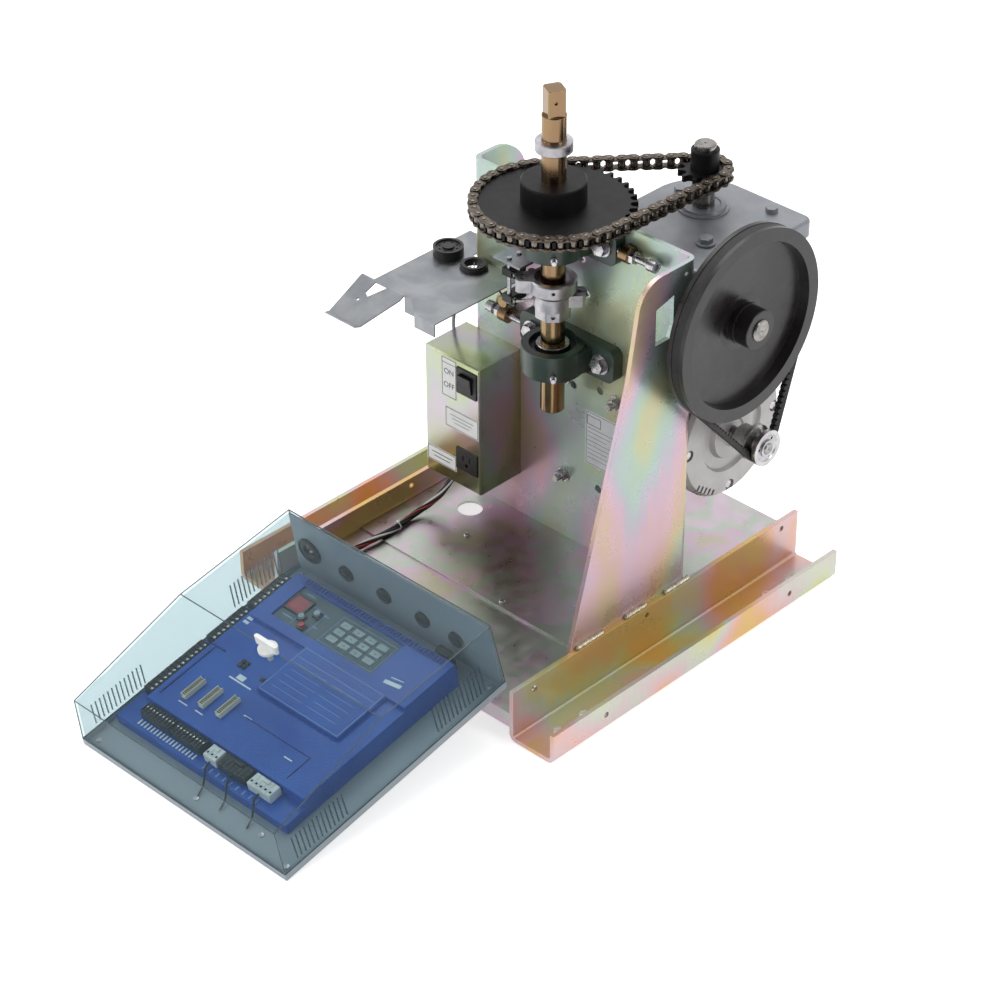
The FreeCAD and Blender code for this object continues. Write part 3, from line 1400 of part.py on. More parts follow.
def make_power_fittings():
    """The rocker, its bezel and the receptacle in the box's front, and the harness bushing below."""
    body = node("power_fittings")
    front = power_front - lip
    pad(body, "XZ", front, power_front, box_about(switch_x, switch_z, rocker_half_x, rocker_half_z))
    shank_x, shank_z = rocker_half_x - rocker_body, rocker_half_z - rocker_body
    pad(body, "XZ", power_front, power_front + 22, box_about(switch_x, switch_z, shank_x, shank_z))
    well_x, well_z = shank_x - 3, shank_z - 3
    cut(body, "XZ", front - 1, power_front + 16, box_about(switch_x, switch_z, well_x, well_z))
    half_x, half_z = outlet_half_x - fit, outlet_half_z - fit
    pad(body, "XZ", front, power_front + 24, box_about(outlet_x, outlet_z, half_x, half_z))
    inside = power_front + box_sheet
    pad(body, "XZ", inside, inside + 2, box_about(outlet_x, outlet_z, half_x, outlet_half_z + 3))
    slots = [box_about(outlet_x + s * blade_reach, outlet_z + 3.5, blade_half, 4.0) for s in (-1, 1)]
    cut(body, "XZ", front - 1, power_front + 12, *slots, circle(outlet_x, outlet_z - 6.4, 2.6))
    bushing_low, bushing_high = power_low - lip, power_low + box_sheet + lip
    bore = circle(harness_x, harness_y, harness_bore)
    pad(body, "XY", bushing_low, bushing_high, circle(harness_x, harness_y, harness_hole - fit), bore)
    collars = [(bushing_low, power_low), (power_low + box_sheet, bushing_high)]
    for low, high in collars:
        pad(body, "XY", low, high, circle(harness_x, harness_y, harness_hole + 2), bore)
    pin_y = front + rocker_pin_depth
    reach = well_x + 1.5
    cut(body, "YZ", switch_x - reach, switch_x + reach, circle(pin_y, switch_z, rocker_pin + fit))

    body = node("power_rocker")
    half_x, half_z = well_x - gap, well_z - 1.2
    crown, heel = front - 2.4, power_front + 3
    profile = poly(
        (crown, switch_z - half_z), (crown - 3, switch_z + half_z), (heel, switch_z + half_z - 1.5),
        (heel + 5, switch_z), (heel, switch_z - half_z + 1.5),
    )
    pad(body, "YZ", switch_x - half_x, switch_x + half_x, profile)
    reach = reach - gap
    pad(body, "YZ", switch_x - reach, switch_x + reach, circle(pin_y, switch_z, rocker_pin))


make_power_box()
make_power_fittings()

# Equipment shelf with its relay socket and cable grommet


def make_equipment_shelf():
    """The sheet shelf: a flange on the panel, a front flange and a sloping tab."""
    body = node("equipment_shelf")
    low = tray_top - tray_sheet
    outline = poly(
        (tray_left, tab_line), (nose_left - 30, tab_line), (nose_left, tray_front), (tray_right, tray_front),
        (tray_right, panel_front), (panel_left - gap, panel_front), (panel_left - gap, tray_back),
        (tray_left, tray_back),
    )
    pad(body, "XY", low, tray_top, outline)
    flange_low = tray_top - tray_flange
    pad(body, "XZ", tray_front, tray_front + tray_sheet, box(nose_left, tray_right, flange_low, tray_top))
    pad(body, "XZ", panel_front - tray_sheet, panel_front, box(-150.0, tray_right, flange_low, tray_top))
    apron = box(tab_right, tab_right + 38, flange_low - 6, tray_top)
    pad(body, "XZ", tab_line, tab_line + tray_sheet, apron)
    run, drop = tab_reach * cosine(tab_slope), tab_reach * sine(tab_slope)
    thick = tray_sheet / cosine(tab_slope)
    tab = poly(
        (tab_line + 2, tray_top), (tab_line, tray_top), (tab_line - run, tray_top - drop),
        (tab_line - run - 8, tray_top - drop + 1), (tab_line - run - 8, tray_top - drop - thick + 1),
        (tab_line - run, tray_top - drop - thick), (tab_line, tray_top - thick),
        (tab_line + 2, tray_top - thick),
    )
    pad(body, "YZ", tab_left, tab_right, tab)
    far = tab_line - run - 10
    start, beyond = tab_line - 8, tab_right + 10
    slant = poly((tab_right, start), (tab_right - 26, far), (beyond, far), (beyond, start))
    cut(body, "XY", low - 60, tray_top + 1, slant)
    notch = [(28, 1), (50, 1), (34, 22), (26, 18)]
    notch = poly(*[(tab_left + across, tab_line - back) for across, back in notch])
    cut(body, "XY", low - 60, tray_top + 1, notch, circle(tab_left + 24, tab_line - 30, 2.0))
    cut(body, "XY", low - 1, tray_top + 1, circle(grommet_x, grommet_y, grommet_radius - 4))


def make_shelf_fittings():
    """The round relay socket and the grommet that the leads pass through."""
    body = node("shelf_fittings")
    top = tray_top + socket_height
    pad(body, "XY", tray_top, top, circle(socket_x, socket_y, socket_radius))
    well = [circle(socket_x, socket_y, socket_radius - 3.5), circle(socket_x, socket_y, 8.0)]
    cut(body, "XY", top - 2.5, top + 1, *well)
    spots = ring_points(socket_x, socket_y, 12.5, 8, 22.5)
    cut(body, "XY", tray_top + 4, top + 1, *[circle(x, y, 1.6) for x, y in spots])
    bore = grommet_radius - 6
    waist, crown = grommet_radius - 4 - fit, grommet_radius - 2
    for low, high, radius in ((-4, 0, waist), (0, 5, grommet_radius), (5, 7, crown)):
        collar = [circle(grommet_x, grommet_y, radius), circle(grommet_x, grommet_y, bore)]
        pad(body, "XY", tray_top + low, tray_top + high, *collar)


make_equipment_shelf()
make_shelf_fittings()

# Limit switches


def make_limit_switches():
    """Two roller switches stacked under a bracket beside the cams."""
    body = node("switch_bracket")
    low = bracket_top - bracket_sheet
    pad(body, "XY", low, bracket_top, box(-62.0, -15.0, -20.0, panel_front))
    pad(body, "XZ", panel_front - bracket_sheet, panel_front, box(-62.0, -15.0, low, bracket_top + 18))
    screw_x = switch_left + switch_deep / 2
    screws = [(screw_x, switch_front + 5), (screw_x, switch_front + switch_long - 5)]
    cut(body, "XY", low - 1, bracket_top + 1, *[circle(x, y, 1.9) for x, y in screws])
    levels = [
        ("upper", upper_cam_low + upper_cam_width / 2, upper_cam_radius),
        ("lower", lower_cam_low + 8, lower_cam_radius),
    ]
    right = switch_left + switch_deep
    ear = box(right - 1, pivot_x + 2.5, pivot_y - 2.5, pivot_y + 2.5)
    switches = node("limit_switches")
    bottoms = [height - switch_thick / 2 for name, height, cam in levels]
    for bottom in bottoms:
        top = bottom + switch_thick
        pad(switches, "XY", bottom, top, box(switch_left, right, switch_front, switch_front + switch_long))
        pad(switches, "XY", bottom + 1, bottom + 3, ear)
        pad(switches, "XY", top - 3, top - 1, ear)
        holes = [circle(x, y, 1.9) for x, y in screws] + [circle(pivot_x, pivot_y, pivot_radius + fit)]
        cut(switches, "XY", bottom - 1, top + 1, *holes)
    for name, height, cam in levels:
        body = node("switch_lever_" + name)
        reach_x = shaft_x - cam - roller_gap - lever_roller
        along = at(reach_x - pivot_x, shaft_y - pivot_y, 0)
        side = V(-along.y, along.x, 0).normalize() * 1.6
        arm = poly(
            (pivot_x + side.x, pivot_y + side.y), (pivot_x - side.x, pivot_y - side.y),
            (reach_x - side.x, shaft_y - side.y), (reach_x + side.x, shaft_y + side.y),
        )
        pad(body, "XY", height - 1.5, height + 1.5, arm)
        half = switch_thick / 2 - 1
        pad(body, "XY", height - half + 2.1, height + half - 2.1, circle(pivot_x, pivot_y, 2.2))
        pad(body, "XY", height - half, height + half, circle(pivot_x, pivot_y, pivot_radius))
        pad(body, "XY", height - 3, height + 3, circle(reach_x, shaft_y, lever_roller))

    body = node("sheet_screws")
    upper, lower = bottoms
    pad(body, "XY", lower - 3, bracket_top, *[circle(x, y, 1.8) for x, y in screws])
    pad(body, "XY", bracket_top, bracket_top + 2.4, *[hexagon(x, y, 6.4) for x, y in screws])
    pad(body, "XY", lower - 2.4, lower, *[hexagon(x, y, 6.4) for x, y in screws])
    pad(body, "XY", lower + switch_thick, upper, *[circle(x, y, 3.0) for x, y in screws])
    pad(body, "XY", upper + switch_thick, low, *[circle(x, y, 3.0) for x, y in screws])
    return body


def make_sheet_screws(body):
    """Domed screws in the deck, the rails and the power box, beside the screws of the switches."""
    head = 2.4
    pad(body, "XY", deck_top - 9, deck_top, *[circle(x, y, screw_radius) for x, y in screw_spots])
    pad(body, "XY", deck_top, deck_top + head, *[circle(x, y, screw_head) for x, y in screw_spots])
    side = power_left - head
    pad(body, "YZ", power_left, power_left + 6, circle(box_screw_y, box_screw_z, screw_radius))
    pad(body, "YZ", side, power_left, circle(box_screw_y, box_screw_z, screw_head))
    rims = [(x + screw_head, y, deck_top + head) for x, y in screw_spots]
    rims.append((side, box_screw_y + screw_head, box_screw_z))
    for s in (-1, 1):
        flange, inside = s * (rail_face + steel), s * (rail_face - 2)
        pad(body, "YZ", *ordered(inside, flange), circle(rail_screw_y, rail_screw_z, screw_radius))
        crown = flange + s * head
        pad(body, "YZ", *ordered(flange, crown), circle(rail_screw_y, rail_screw_z, screw_head))
        rims.append((crown, rail_screw_y + screw_head, rail_screw_z))
    soften(body, 1.8, *rims)


make_sheet_screws(make_limit_switches())

# Control box: everything below is in the box's own frame, whose origin lies on the hinge axis

hinge_z = (box_length - hinge_inset) * sine(tilt) - hinge_drop * cosine(tilt)
box_front = hinge_inset - box_length
box_rear = hinge_inset
base_low = hinge_drop
floor_top = base_low + wall


def in_box(body):
    place(body, 0, hinge_y, hinge_z, axis=(1, 0, 0), angle=tilt)
    return body


def box_spot(x, y):
    """A place on the box's floor: across from its left edge, and along from the board's datum line."""
    return cover_left + x, box_rear - board_datum + y


LOUVRES = 13
rim_top = base_low + rim
draft_slope = sine(cover_draft) / cosine(cover_draft)
rear_wall_back = box_rear - 1
rear_wall_front = rear_wall_back - wall
entries = [(36, 52, 17.0), (104, 50, 9.5), (174, 50, 9.5), (243, 47, 9.5), (302, 46, 9.5)]
knockouts = [(cover_left + x, base_low + z, r) for x, z, r in entries]


def make_control_base():
    """The base: a floor with a low rim, and a rear wall under the cover's open end."""
    body = node("control_base")
    pad(body, "XY", base_low, floor_top, box(cover_left, cover_right, box_front, box_rear))
    ring = [
        box(cover_left, cover_right, box_front, box_rear),
        box(cover_left + wall, cover_right - wall, box_front + wall, box_rear - wall),
    ]
    pad(body, "XY", floor_top, rim_top, *ring)
    top = base_low + rear_height - wall - gap
    inset = wall + gap
    lean = (top - rim_top) * draft_slope
    rear = poly(
        (cover_left + inset, floor_top), (cover_right - inset, floor_top), (cover_right - inset, rim_top),
        (cover_right - inset - lean, top), (cover_left + inset + lean, top), (cover_left + inset, rim_top),
    )
    pad(body, "XZ", rear_wall_front, rear_wall_back, rear)
    holes = [circle(x, z, r) for x, z, r in knockouts]
    cut(body, "XZ", rear_wall_front - 1, rear_wall_back + wall + 1, *holes)
    in_box(body)


def make_knockouts():
    """The plugs of the cable entries: the first is a bushing, open in the middle."""
    body = node("cable_entry_plugs")
    pad(body, "XZ", rear_wall_front, rear_wall_back, *[circle(x, z, r - fit) for x, z, r in knockouts])
    flange_front = rear_wall_front - wall
    pad(body, "XZ", flange_front, rear_wall_front, *[circle(x, z, r + 2.5) for x, z, r in knockouts])
    x, z, r = knockouts[0]
    cut(body, "XZ", flange_front - 1, rear_wall_back + 1, circle(x, z, entry_bore))
    in_box(body)


def make_control_cover():
    """The clear cover: tapered walls, a roof with a ridge, an open foot, an open rear and louvres."""
    body = node("control_cover")
    far = base_low + ridge_height
    left, right, front = cover_left, cover_right, box_front
    spare = box_rear + 20
    shell = pad(body, "XY", rim_top, far + 4, box(left, right, front, spare))
    bind(shell, "TaperAngle", -cover_draft)
    room = cut(body, "XY", rim_top, far + 5, box(left + wall, right - wall, front + wall, spare + wall))
    room.Reversed = True
    bind(room.Profile[0], "AttachmentOffset.Base.z", rim_top)
    bind(room, "TaperAngle", -cover_draft)
    ridge = front + ridge_from_front
    roof_front = base_low + front_wall
    roof_rear = base_low + rear_height
    eave = front + (roof_front - rim_top) * draft_slope
    roof = poly(
        (eave + 1, roof_front), (ridge, far), (box_rear, roof_rear),
        (box_rear, roof_rear - wall), (ridge, far - wall), (eave + 1, roof_front - wall),
    )
    inset = (far - rim_top) * draft_slope + wall / 2
    pad(body, "YZ", left + inset, right - inset, roof)
    above = poly(
        (front - 5, roof_front), (eave, roof_front), (ridge, far), (box_rear, roof_rear),
        (box_rear, rim_top - 1), (spare + 5, rim_top - 1), (spare + 5, far + 20), (front - 5, far + 20),
    )
    cut(body, "YZ", left - 5, right + 5, above)
    step = louvre_pitch
    louvres = []
    for first, low, high in ((front + 24, 18, 52), (box_rear - 118, 22, 62)):
        for i in range(LOUVRES):
            edge = first + step * i
            louvres.append(box(edge, edge + louvre_width, base_low + low, base_low + high))
    cut(body, "YZ", left - 5, right + 5, *louvres)
    cut(body, "XY", rim_top, far + 10, circle(*latch_spot, latch_radius + gap))
    in_box(body)


latch_spot = (cover_left + latch_x, box_front + ridge_from_front - latch_before_ridge)


def make_latch():
    """The wing that locks the cover at its ridge."""
    body = node("cover_latch")
    x, y = latch_spot
    seat = base_low + ridge_height + gap
    pad(body, "XY", seat - 16, seat, circle(x, y, latch_radius))
    pad(body, "XY", seat, seat + 4, circle(x, y, 13.0))
    pad(body, "XY", seat + 4, seat + 16, slot(x, y, 40.0, 6.0))
    in_box(body)


board_face = base_low + board_top + board_rise
recess_floor = board_face - 4
buttons = (("reset_button", 116.0, 286.0), ("open_button", 118.0, 312.0), ("close_button", 104.0, 297.0))


def make_board():
    """The control board's housing: a ledge for the terminals, a body, and a raised rear with a recess."""
    body = node("board_housing")
    left, rear = box_spot(board_left, board_rear)
    right, front = box_spot(board_right, board_front)
    top = base_low + board_top
    pad(body, "XY", floor_top, base_low + ledge_height, box(left - 24, right, front - 36, rear))
    pad(body, "XY", base_low + ledge_height, top, box(left, right, front, rear))
    pad(body, "XY", top, board_face, box(left + 8, right, box_spot(0, board_step)[1], rear))
    pad(body, "XY", top, board_face, box_between(box_spot(147, 177), box_spot(292, 264)))
    cut(body, "XY", recess_floor, board_face + 1, box_between(box_spot(66, 278), box_spot(250, 340)))
    in_box(body)


def make_board_fittings():
    """What sits on the board: display, keys, buttons, terminals and headers."""
    body = node("display_window")
    pad(body, "XY", recess_floor, recess_floor + 3, box_about(*box_spot(84.0, 312.0), 14, 12))
    in_box(body)

    body = node("keypad")
    keys = [box_spot(163 + 22 * column, 293.5 + 13.5 * row) for column in range(4) for row in range(3)]
    pad(body, "XY", recess_floor, recess_floor + 2.4, *[box_about(x, y, 8, 4.5) for x, y in keys])
    in_box(body)

    for name, across, along in buttons:
        body = node(name)
        stem = recess_floor + 0.5 + gap + button_travel
        pad(body, "XY", stem, recess_floor + 8, circle(*box_spot(across, along), button_radius))
        in_box(body)

    body = node("board_connectors")
    spots = [box_spot(across, along) for name, across, along in buttons]
    pad(body, "XY", recess_floor, recess_floor + 4.5, *[box_about(x, y, 5.5, 5.5) for x, y in spots])
    wells = [circle(x, y, button_radius + gap) for x, y in spots]
    cut(body, "XY", recess_floor + 0.5, recess_floor + 6, *wells)
    top = base_low + board_top
    ledge = base_low + ledge_height
    rows = [(15, 98, 34, 198), (15, 207, 34, 271), (15, 280, 34, 344), (44, 66, 98, 84), (101, 66, 155, 84)]
    plugs = [(165, 64, 188, 84), (192, 64, 240, 84), (245, 64, 286, 84)]
    blocks = [box_between(box_spot(a, b), box_spot(c, d)) for a, b, c, d in rows + plugs]
    pad(body, "XY", ledge, top - 2, *blocks)
    headers = [box_spot(*spot) for spot in ((74, 112), (104, 114), (134, 116))]
    pad(body, "XY", top, top + 8, *[box(x, x + 9, y, y + 36) for x, y in headers])
    in_box(body)


make_control_base()
make_knockouts()
make_control_cover()
make_latch()
make_board()
make_board_fittings()

hinge_spots = [-100.0, 130.0]


def make_hinges():
    """Two hinges: the frame leaves stand on the pan's front flange, the box leaves lie under the base."""
    body = node("hinge_frame_leaves")
    face = -half_rail
    for x in hinge_spots:
        plate = box(x - leaf_half, x + leaf_half, deck_top - deck_drop, deck_top + 4)
        pad(body, "XZ", face - leaf, face, plate)
        pad(body, "XZ", face - leaf, face, box(x - middle_half, x + middle_half, deck_top + 3, hinge_z))
        pad(body, "YZ", x - middle_half, x + middle_half, circle(hinge_y, hinge_z, knuckle_radius))
    cut(body, "YZ", -rail_face, rail_face, circle(hinge_y, hinge_z, hinge_pin_radius + fit))

    body = node("hinge_box_leaves")
    clear = middle_half + gap
    for x in hinge_spots:
        pad(body, "XY", base_low - leaf, base_low, box(x - leaf_half, x + leaf_half, -34, 0))
        pad(body, "YZ", x - leaf_half, x + leaf_half, circle(0, 0, knuckle_radius))
    notches = [box(x - clear, x + clear, -knuckle_radius - 2, knuckle_radius + 2) for x in hinge_spots]
    cut(body, "XY", -knuckle_radius - 1, base_low + 1, *notches)
    for x in hinge_spots:
        pad(body, "YZ", x - leaf_half - 1, x + leaf_half + 1, circle(0, 0, hinge_pin_radius))
    in_box(body)


make_hinges()


# Cords: straight runs joined by tangent arcs


def tube(points, radius):
    """A tube along a route, the smallest radius of its bends, and its length."""
    spots = [V(*point) for point in points]
    edges, start, tightest = [], spots[0], math.inf
    for before, corner, after in zip(spots, spots[1:], spots[2:]):
        back, ahead = (before - corner), (after - corner)
        half_turn = (math.pi - back.getAngle(ahead)) / 2
        trim = 0.45 * min(back.Length, ahead.Length)
        bend_radius = trim / math.tan(half_turn)
        tightest = min(tightest, bend_radius)
        back.normalize()
        ahead.normalize()
        first, last = corner + back * trim, corner + ahead * trim
        middle = corner + (back + ahead).normalize() * (bend_radius / math.cos(half_turn) - bend_radius)
        edges += [Part.LineSegment(start, first).toShape(), Part.Arc(first, middle, last).toShape()]
        start = last
    edges.append(Part.LineSegment(start, spots[-1]).toShape())
    path = Part.Wire(edges)
    ring = Part.Wire([Part.Circle(spots[0], spots[1] - spots[0], radius).toShape()])
    solid = path.makePipeShell([ring], True, False)
    return solid, tightest, path.Length


def make_cord(name, radius, *routes):
    """A node of one or more loose tubes; the bends and the volume are printed to be compared."""
    made = [tube(route, radius) for route in routes]
    length = sum(item[2] for item in made)
    share = sum(item[0].Volume for item in made) / (math.pi * radius**2 * length)
    tightest = min(item[1] for item in made)
    print("%s: length %.0f, least bend %.1f, volume ratio %.4f" % (name, length, tightest, share))
    return free_node(name, Part.makeCompound([item[0] for item in made]))


HARNESS_ROUTE = [
    (-152, 2, 112), (-156, -14, 82), (-168, -34, 60), (-176, -62, 50.2), (-171, -94, 49.2),
    (-173, -128, 49.0), (-176, -161, 48.6), (-170, -194, 53), (-157, -222, 69), (-143, -244, 93),
    (-133, -265, 120), (-130, -292, 132),
]
SHELF_ROUTE = [
    (-145, 29, 408), (-150, 31, 384), (-168, 34, 362), (-185, 36, 340), (-192, 36, 314), (-191, 36, 290),
    (-178, 36, 272),
]
SWITCH_ROUTE = [
    (-46, 1, 421), (-47, 6, 408), (-56, 13, 398), (-68, 18, 393), (-82, 21, 396), (-96, 25, 401),
    (-112, 28, 404.5), (-128, 30, 405.5),
]
make_cord("control_harness", 4.5, HARNESS_ROUTE)
make_cord("shelf_leads", 2.5, SHELF_ROUTE)
make_cord("switch_lead", 1.3, SWITCH_ROUTE)


def lead_route(x):
    """From a plug's front face down to the floor before it, in the box's own frame."""
    near, floor = box_spot(0, 63.7)[1].value, floor_top.value
    return [
        (x, near, floor + 20), (x + 1, near - 7, floor + 21), (x + 4, near - 14, floor + 16),
        (x + 8, near - 20, floor + 9), (x + 12, near - 28, floor + 4.5), (x + 14, near - 38, floor + 2.2),
    ]


lead_starts = [(cover_left + across).value for across in (176, 216, 265)]
in_box(make_cord("board_leads", 1.3, *[lead_route(x) for x in lead_starts]))


# Check every object, then write the nodes

doc.recompute()
for thing in doc.Objects:
    if any(word in ("Invalid", "Error") for word in thing.State):
        raise RuntimeError("%s (%s) failed: %s" % (thing.Name, thing.Label, thing.State))
broken = [n.Label for n in nodes if n.Shape.isNull() or not n.Shape.isValid() or not n.Shape.Solids]
if broken:
    raise RuntimeError("no valid solid in: " + ", ".join(broken))
os.makedirs("parts", exist_ok=True)
for thing in nodes:
    thing.Shape.exportStep(os.path.join("parts", thing.Label + ".step"))
print("%d nodes written" % len(nodes))
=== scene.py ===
import json
import math
import random

import bmesh
import bpy
from mathutils import Matrix, Vector
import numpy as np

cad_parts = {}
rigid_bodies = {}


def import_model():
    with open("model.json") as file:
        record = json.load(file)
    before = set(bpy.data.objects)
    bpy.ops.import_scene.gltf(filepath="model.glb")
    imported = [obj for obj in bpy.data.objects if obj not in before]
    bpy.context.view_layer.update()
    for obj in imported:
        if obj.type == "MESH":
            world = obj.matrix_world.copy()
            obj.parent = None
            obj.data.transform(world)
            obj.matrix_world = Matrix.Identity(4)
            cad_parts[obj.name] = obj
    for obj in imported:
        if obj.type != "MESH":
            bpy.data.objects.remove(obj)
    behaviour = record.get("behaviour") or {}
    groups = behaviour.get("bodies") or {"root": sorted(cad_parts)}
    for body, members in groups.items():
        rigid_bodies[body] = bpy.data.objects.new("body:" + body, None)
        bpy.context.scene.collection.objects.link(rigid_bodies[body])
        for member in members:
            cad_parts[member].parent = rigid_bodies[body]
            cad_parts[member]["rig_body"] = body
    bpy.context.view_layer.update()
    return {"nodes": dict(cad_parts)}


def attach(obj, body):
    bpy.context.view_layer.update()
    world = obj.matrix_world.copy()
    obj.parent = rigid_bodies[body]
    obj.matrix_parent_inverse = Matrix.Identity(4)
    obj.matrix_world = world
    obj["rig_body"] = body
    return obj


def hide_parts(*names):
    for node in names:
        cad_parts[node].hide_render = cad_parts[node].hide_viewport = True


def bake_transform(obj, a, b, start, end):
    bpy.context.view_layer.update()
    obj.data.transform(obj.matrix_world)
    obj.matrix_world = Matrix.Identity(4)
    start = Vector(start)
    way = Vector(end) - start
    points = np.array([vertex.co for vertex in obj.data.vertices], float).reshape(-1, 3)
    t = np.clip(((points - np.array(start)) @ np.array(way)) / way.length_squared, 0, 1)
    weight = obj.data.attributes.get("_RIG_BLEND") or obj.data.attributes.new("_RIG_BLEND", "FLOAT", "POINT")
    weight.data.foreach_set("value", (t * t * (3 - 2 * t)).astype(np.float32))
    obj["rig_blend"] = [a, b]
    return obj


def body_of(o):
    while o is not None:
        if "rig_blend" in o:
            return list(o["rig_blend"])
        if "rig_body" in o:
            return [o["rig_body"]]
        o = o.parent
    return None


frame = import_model()
cad = frame["nodes"]
random.seed(11)

MM = 0.001

# Axles in millimetres: the output shaft's across and back, the two sheaves' back and up
SHAFT = (17.0, 8.1)
LARGE_SHEAVE = (110.0, 457.0)
SMALL_SHEAVE = (154.5, 254.0)


def linked(name, data):
    """A new object with this data, in the scene."""
    made = bpy.data.objects.new(name, data)
    bpy.context.scene.collection.objects.link(made)
    return made


# Camera: its place in metres, its turns in degrees (about the upright, down, and about the line of sight),
# and its lens

CAMERA_PLACE = (2.35504, -2.49202, 2.4686)
CAMERA_TURNS = (44.23, 34.33, -0.26)
SENSOR_MM = 36.0
LENS_PER_SENSOR = 3.12178


def make_camera():
    """The photograph's own viewpoint and lens."""
    yaw, pitch, roll = (math.radians(turn) for turn in CAMERA_TURNS)
    look = Vector((-math.sin(yaw) * math.cos(pitch), math.cos(yaw) * math.cos(pitch), -math.sin(pitch)))
    right = Vector((math.cos(yaw), math.sin(yaw), 0))
    up = right.cross(look)
    right, up = right * math.cos(roll) + up * math.sin(roll), up * math.cos(roll) - right * math.sin(roll)
    camera = linked("camera", bpy.data.cameras.new("camera"))
    camera.data.sensor_width = SENSOR_MM
    camera.data.lens = SENSOR_MM * LENS_PER_SENSOR
    camera.data.clip_end = 50.0
    turn = Matrix((right, up, -look)).transposed()
    camera.matrix_world = Matrix.Translation(CAMERA_PLACE) @ turn.to_4x4()
    bpy.context.scene.camera = camera


make_camera()


# Node and colour helpers


def linear(code):
    """A colour written as sRGB hex, as the linear values that a shader takes."""
    parts = [int(code[i:i + 2], 16) / 255 for i in (1, 3, 5)]
    return tuple(p / 12.92 if p <= 0.04045 else ((p + 0.055) / 1.055) ** 2.4 for p in parts) + (1.0,)


def per(size_mm):
    """A texture scale whose features are about this many millimetres across."""
    return 1000.0 / size_mm


def add(tree, kind, links=None, stops=(), ease="LINEAR", **settings):
    """Add a node with its settings and its ramp's colours, and set or link its inputs. A node that is
    given for an input stands for its first output."""
    made = tree.nodes.new("ShaderNode" + kind)
    for key, value in settings.items():
        setattr(made, key, value)
    if stops:
        made.color_ramp.interpolation = ease
        elements = made.color_ramp.elements
        while len(elements) < len(stops):
            elements.new(0.5)
        for element, (share, code) in zip(elements, stops):
            element.position, element.color = share, linear(code)
    for socket, value in (links or {}).items():
        if isinstance(value, bpy.types.Node):
            value = value.outputs[0]
        if isinstance(value, bpy.types.NodeSocket):
            tree.links.new(value, made.inputs[socket])
        else:
            made.inputs[socket].default_value = value
    return made


def blank_tree(owner):
    """The emptied node tree of a new material or world."""
    owner.use_nodes = True
    owner.node_tree.nodes.clear()
    return owner.node_tree


def new_finish(name):
    """A new material, its emptied tree, and the object coordinates that its patterns read."""
    material = bpy.data.materials.new(name)
    tree = blank_tree(material)
    return material, tree, add(tree, "TexCoord").outputs["Object"]


# Materials: every pattern has a real size in millimetres. Sheet grain, moulded grain and cloth are too
# fine to show in the render, so they are drawn a few times as coarse as the real ones.

# The shares that most of a noise lies between
SPAN = {"From Min": 0.3, "From Max": 0.7}


def chromate(name, palette, patch_mm, gloss, metal, shift=(0.0, 0.0, 0.0), tall=0.55):
    """Zinc plate with yellow chromate on rolled steel: gold that drifts to pink, lilac, teal and mint,
    in soft patches drawn out up the sheet, with a satin grain and edges that catch the light."""
    material, tree, place = new_finish(name)
    up = add(tree, "Mapping", {"Vector": place, "Location": shift, "Scale": (1.0, 1.0, tall)})
    broad = add(tree, "TexNoise", {
        "Vector": up, "Scale": per(patch_mm), "Detail": 1.0, "Roughness": 0.4, "Distortion": 0.25,
    })
    small = add(tree, "TexNoise", {"Vector": up, "Scale": per(patch_mm / 4), "Detail": 2.0})
    rolled = add(tree, "Mapping", {"Vector": place, "Scale": (1.0, 1.0, 0.06)})
    streak = add(tree, "TexNoise", {"Vector": rolled, "Scale": per(9.0), "Detail": 2.0})
    drift = add(tree, "Mix", {0: 0.14, 2: broad, 3: small})
    drift = add(tree, "Mix", {0: 0.06, 2: drift, 3: streak})
    worn = add(tree, "TexNoise", {"Vector": place, "Scale": per(40.0), "Detail": 4.0, "Roughness": 0.6})
    grain = add(tree, "TexNoise", {"Vector": place, "Scale": per(1.5), "Detail": 4.0, "Roughness": 0.6})
    edges = add(tree, "Bevel", {"Radius": 0.9 * MM}, samples=4)
    shader = add(tree, "BsdfPrincipled", {
        "Base Color": add(tree, "ValToRGB", {"Fac": drift}, palette, "B_SPLINE"),
        "Metallic": metal,
        "Roughness": add(tree, "MapRange", {"Value": worn, **SPAN, "To Min": gloss[0], "To Max": gloss[1]}),
        "Normal": add(tree, "Bump", {"Height": grain, "Distance": 0.02 * MM, "Normal": edges}),
    })
    add(tree, "OutputMaterial", {"Surface": shader})
    return material


side_drifts = (
    (0.30, "#C8B68A"), (0.36, "#B5BE9C"), (0.41, "#A5BFB2"), (0.46, "#B3B0BC"), (0.51, "#CFABBA"),
    (0.56, "#C9AC9F"), (0.61, "#C6B488"), (0.66, "#A9BDA6"), (0.72, "#B6AEBE"),
)
panel_drifts = (
    (0.30, "#C2AC7C"), (0.37, "#B5A784"), (0.43, "#C5A3A6"), (0.48, "#AEA2B0"), (0.52, "#97A3B2"),
    (0.57, "#B5AC90"), (0.62, "#CBAE86"), (0.70, "#B5A27E"),
)
rail_drifts = (
    (0.30, "#CDC07A"), (0.37, "#DABA70"), (0.43, "#DCAE7A"), (0.48, "#DEB4B2"), (0.53, "#CBC0C2"),
    (0.58, "#C4D0B4"), (0.63, "#D2C785"), (0.70, "#DFB974"),
)
box_drifts = (
    (0.34, "#929D76"), (0.40, "#ACAF8A"), (0.45, "#B1B7A6"), (0.50, "#B8AAB7"), (0.55, "#ABB3AC"),
    (0.60, "#B3B88F"), (0.67, "#919F79"),
)
bar_drifts = ((0.34, "#8F7756"), (0.45, "#8B6F5A"), (0.55, "#9A825C"), (0.66, "#84714F"))
plate_zinc = chromate(
    "yellow chromate on frame plate", side_drifts, 170.0, (0.24, 0.36), 0.62, shift=(0.13, 0.0, 0.05)
)
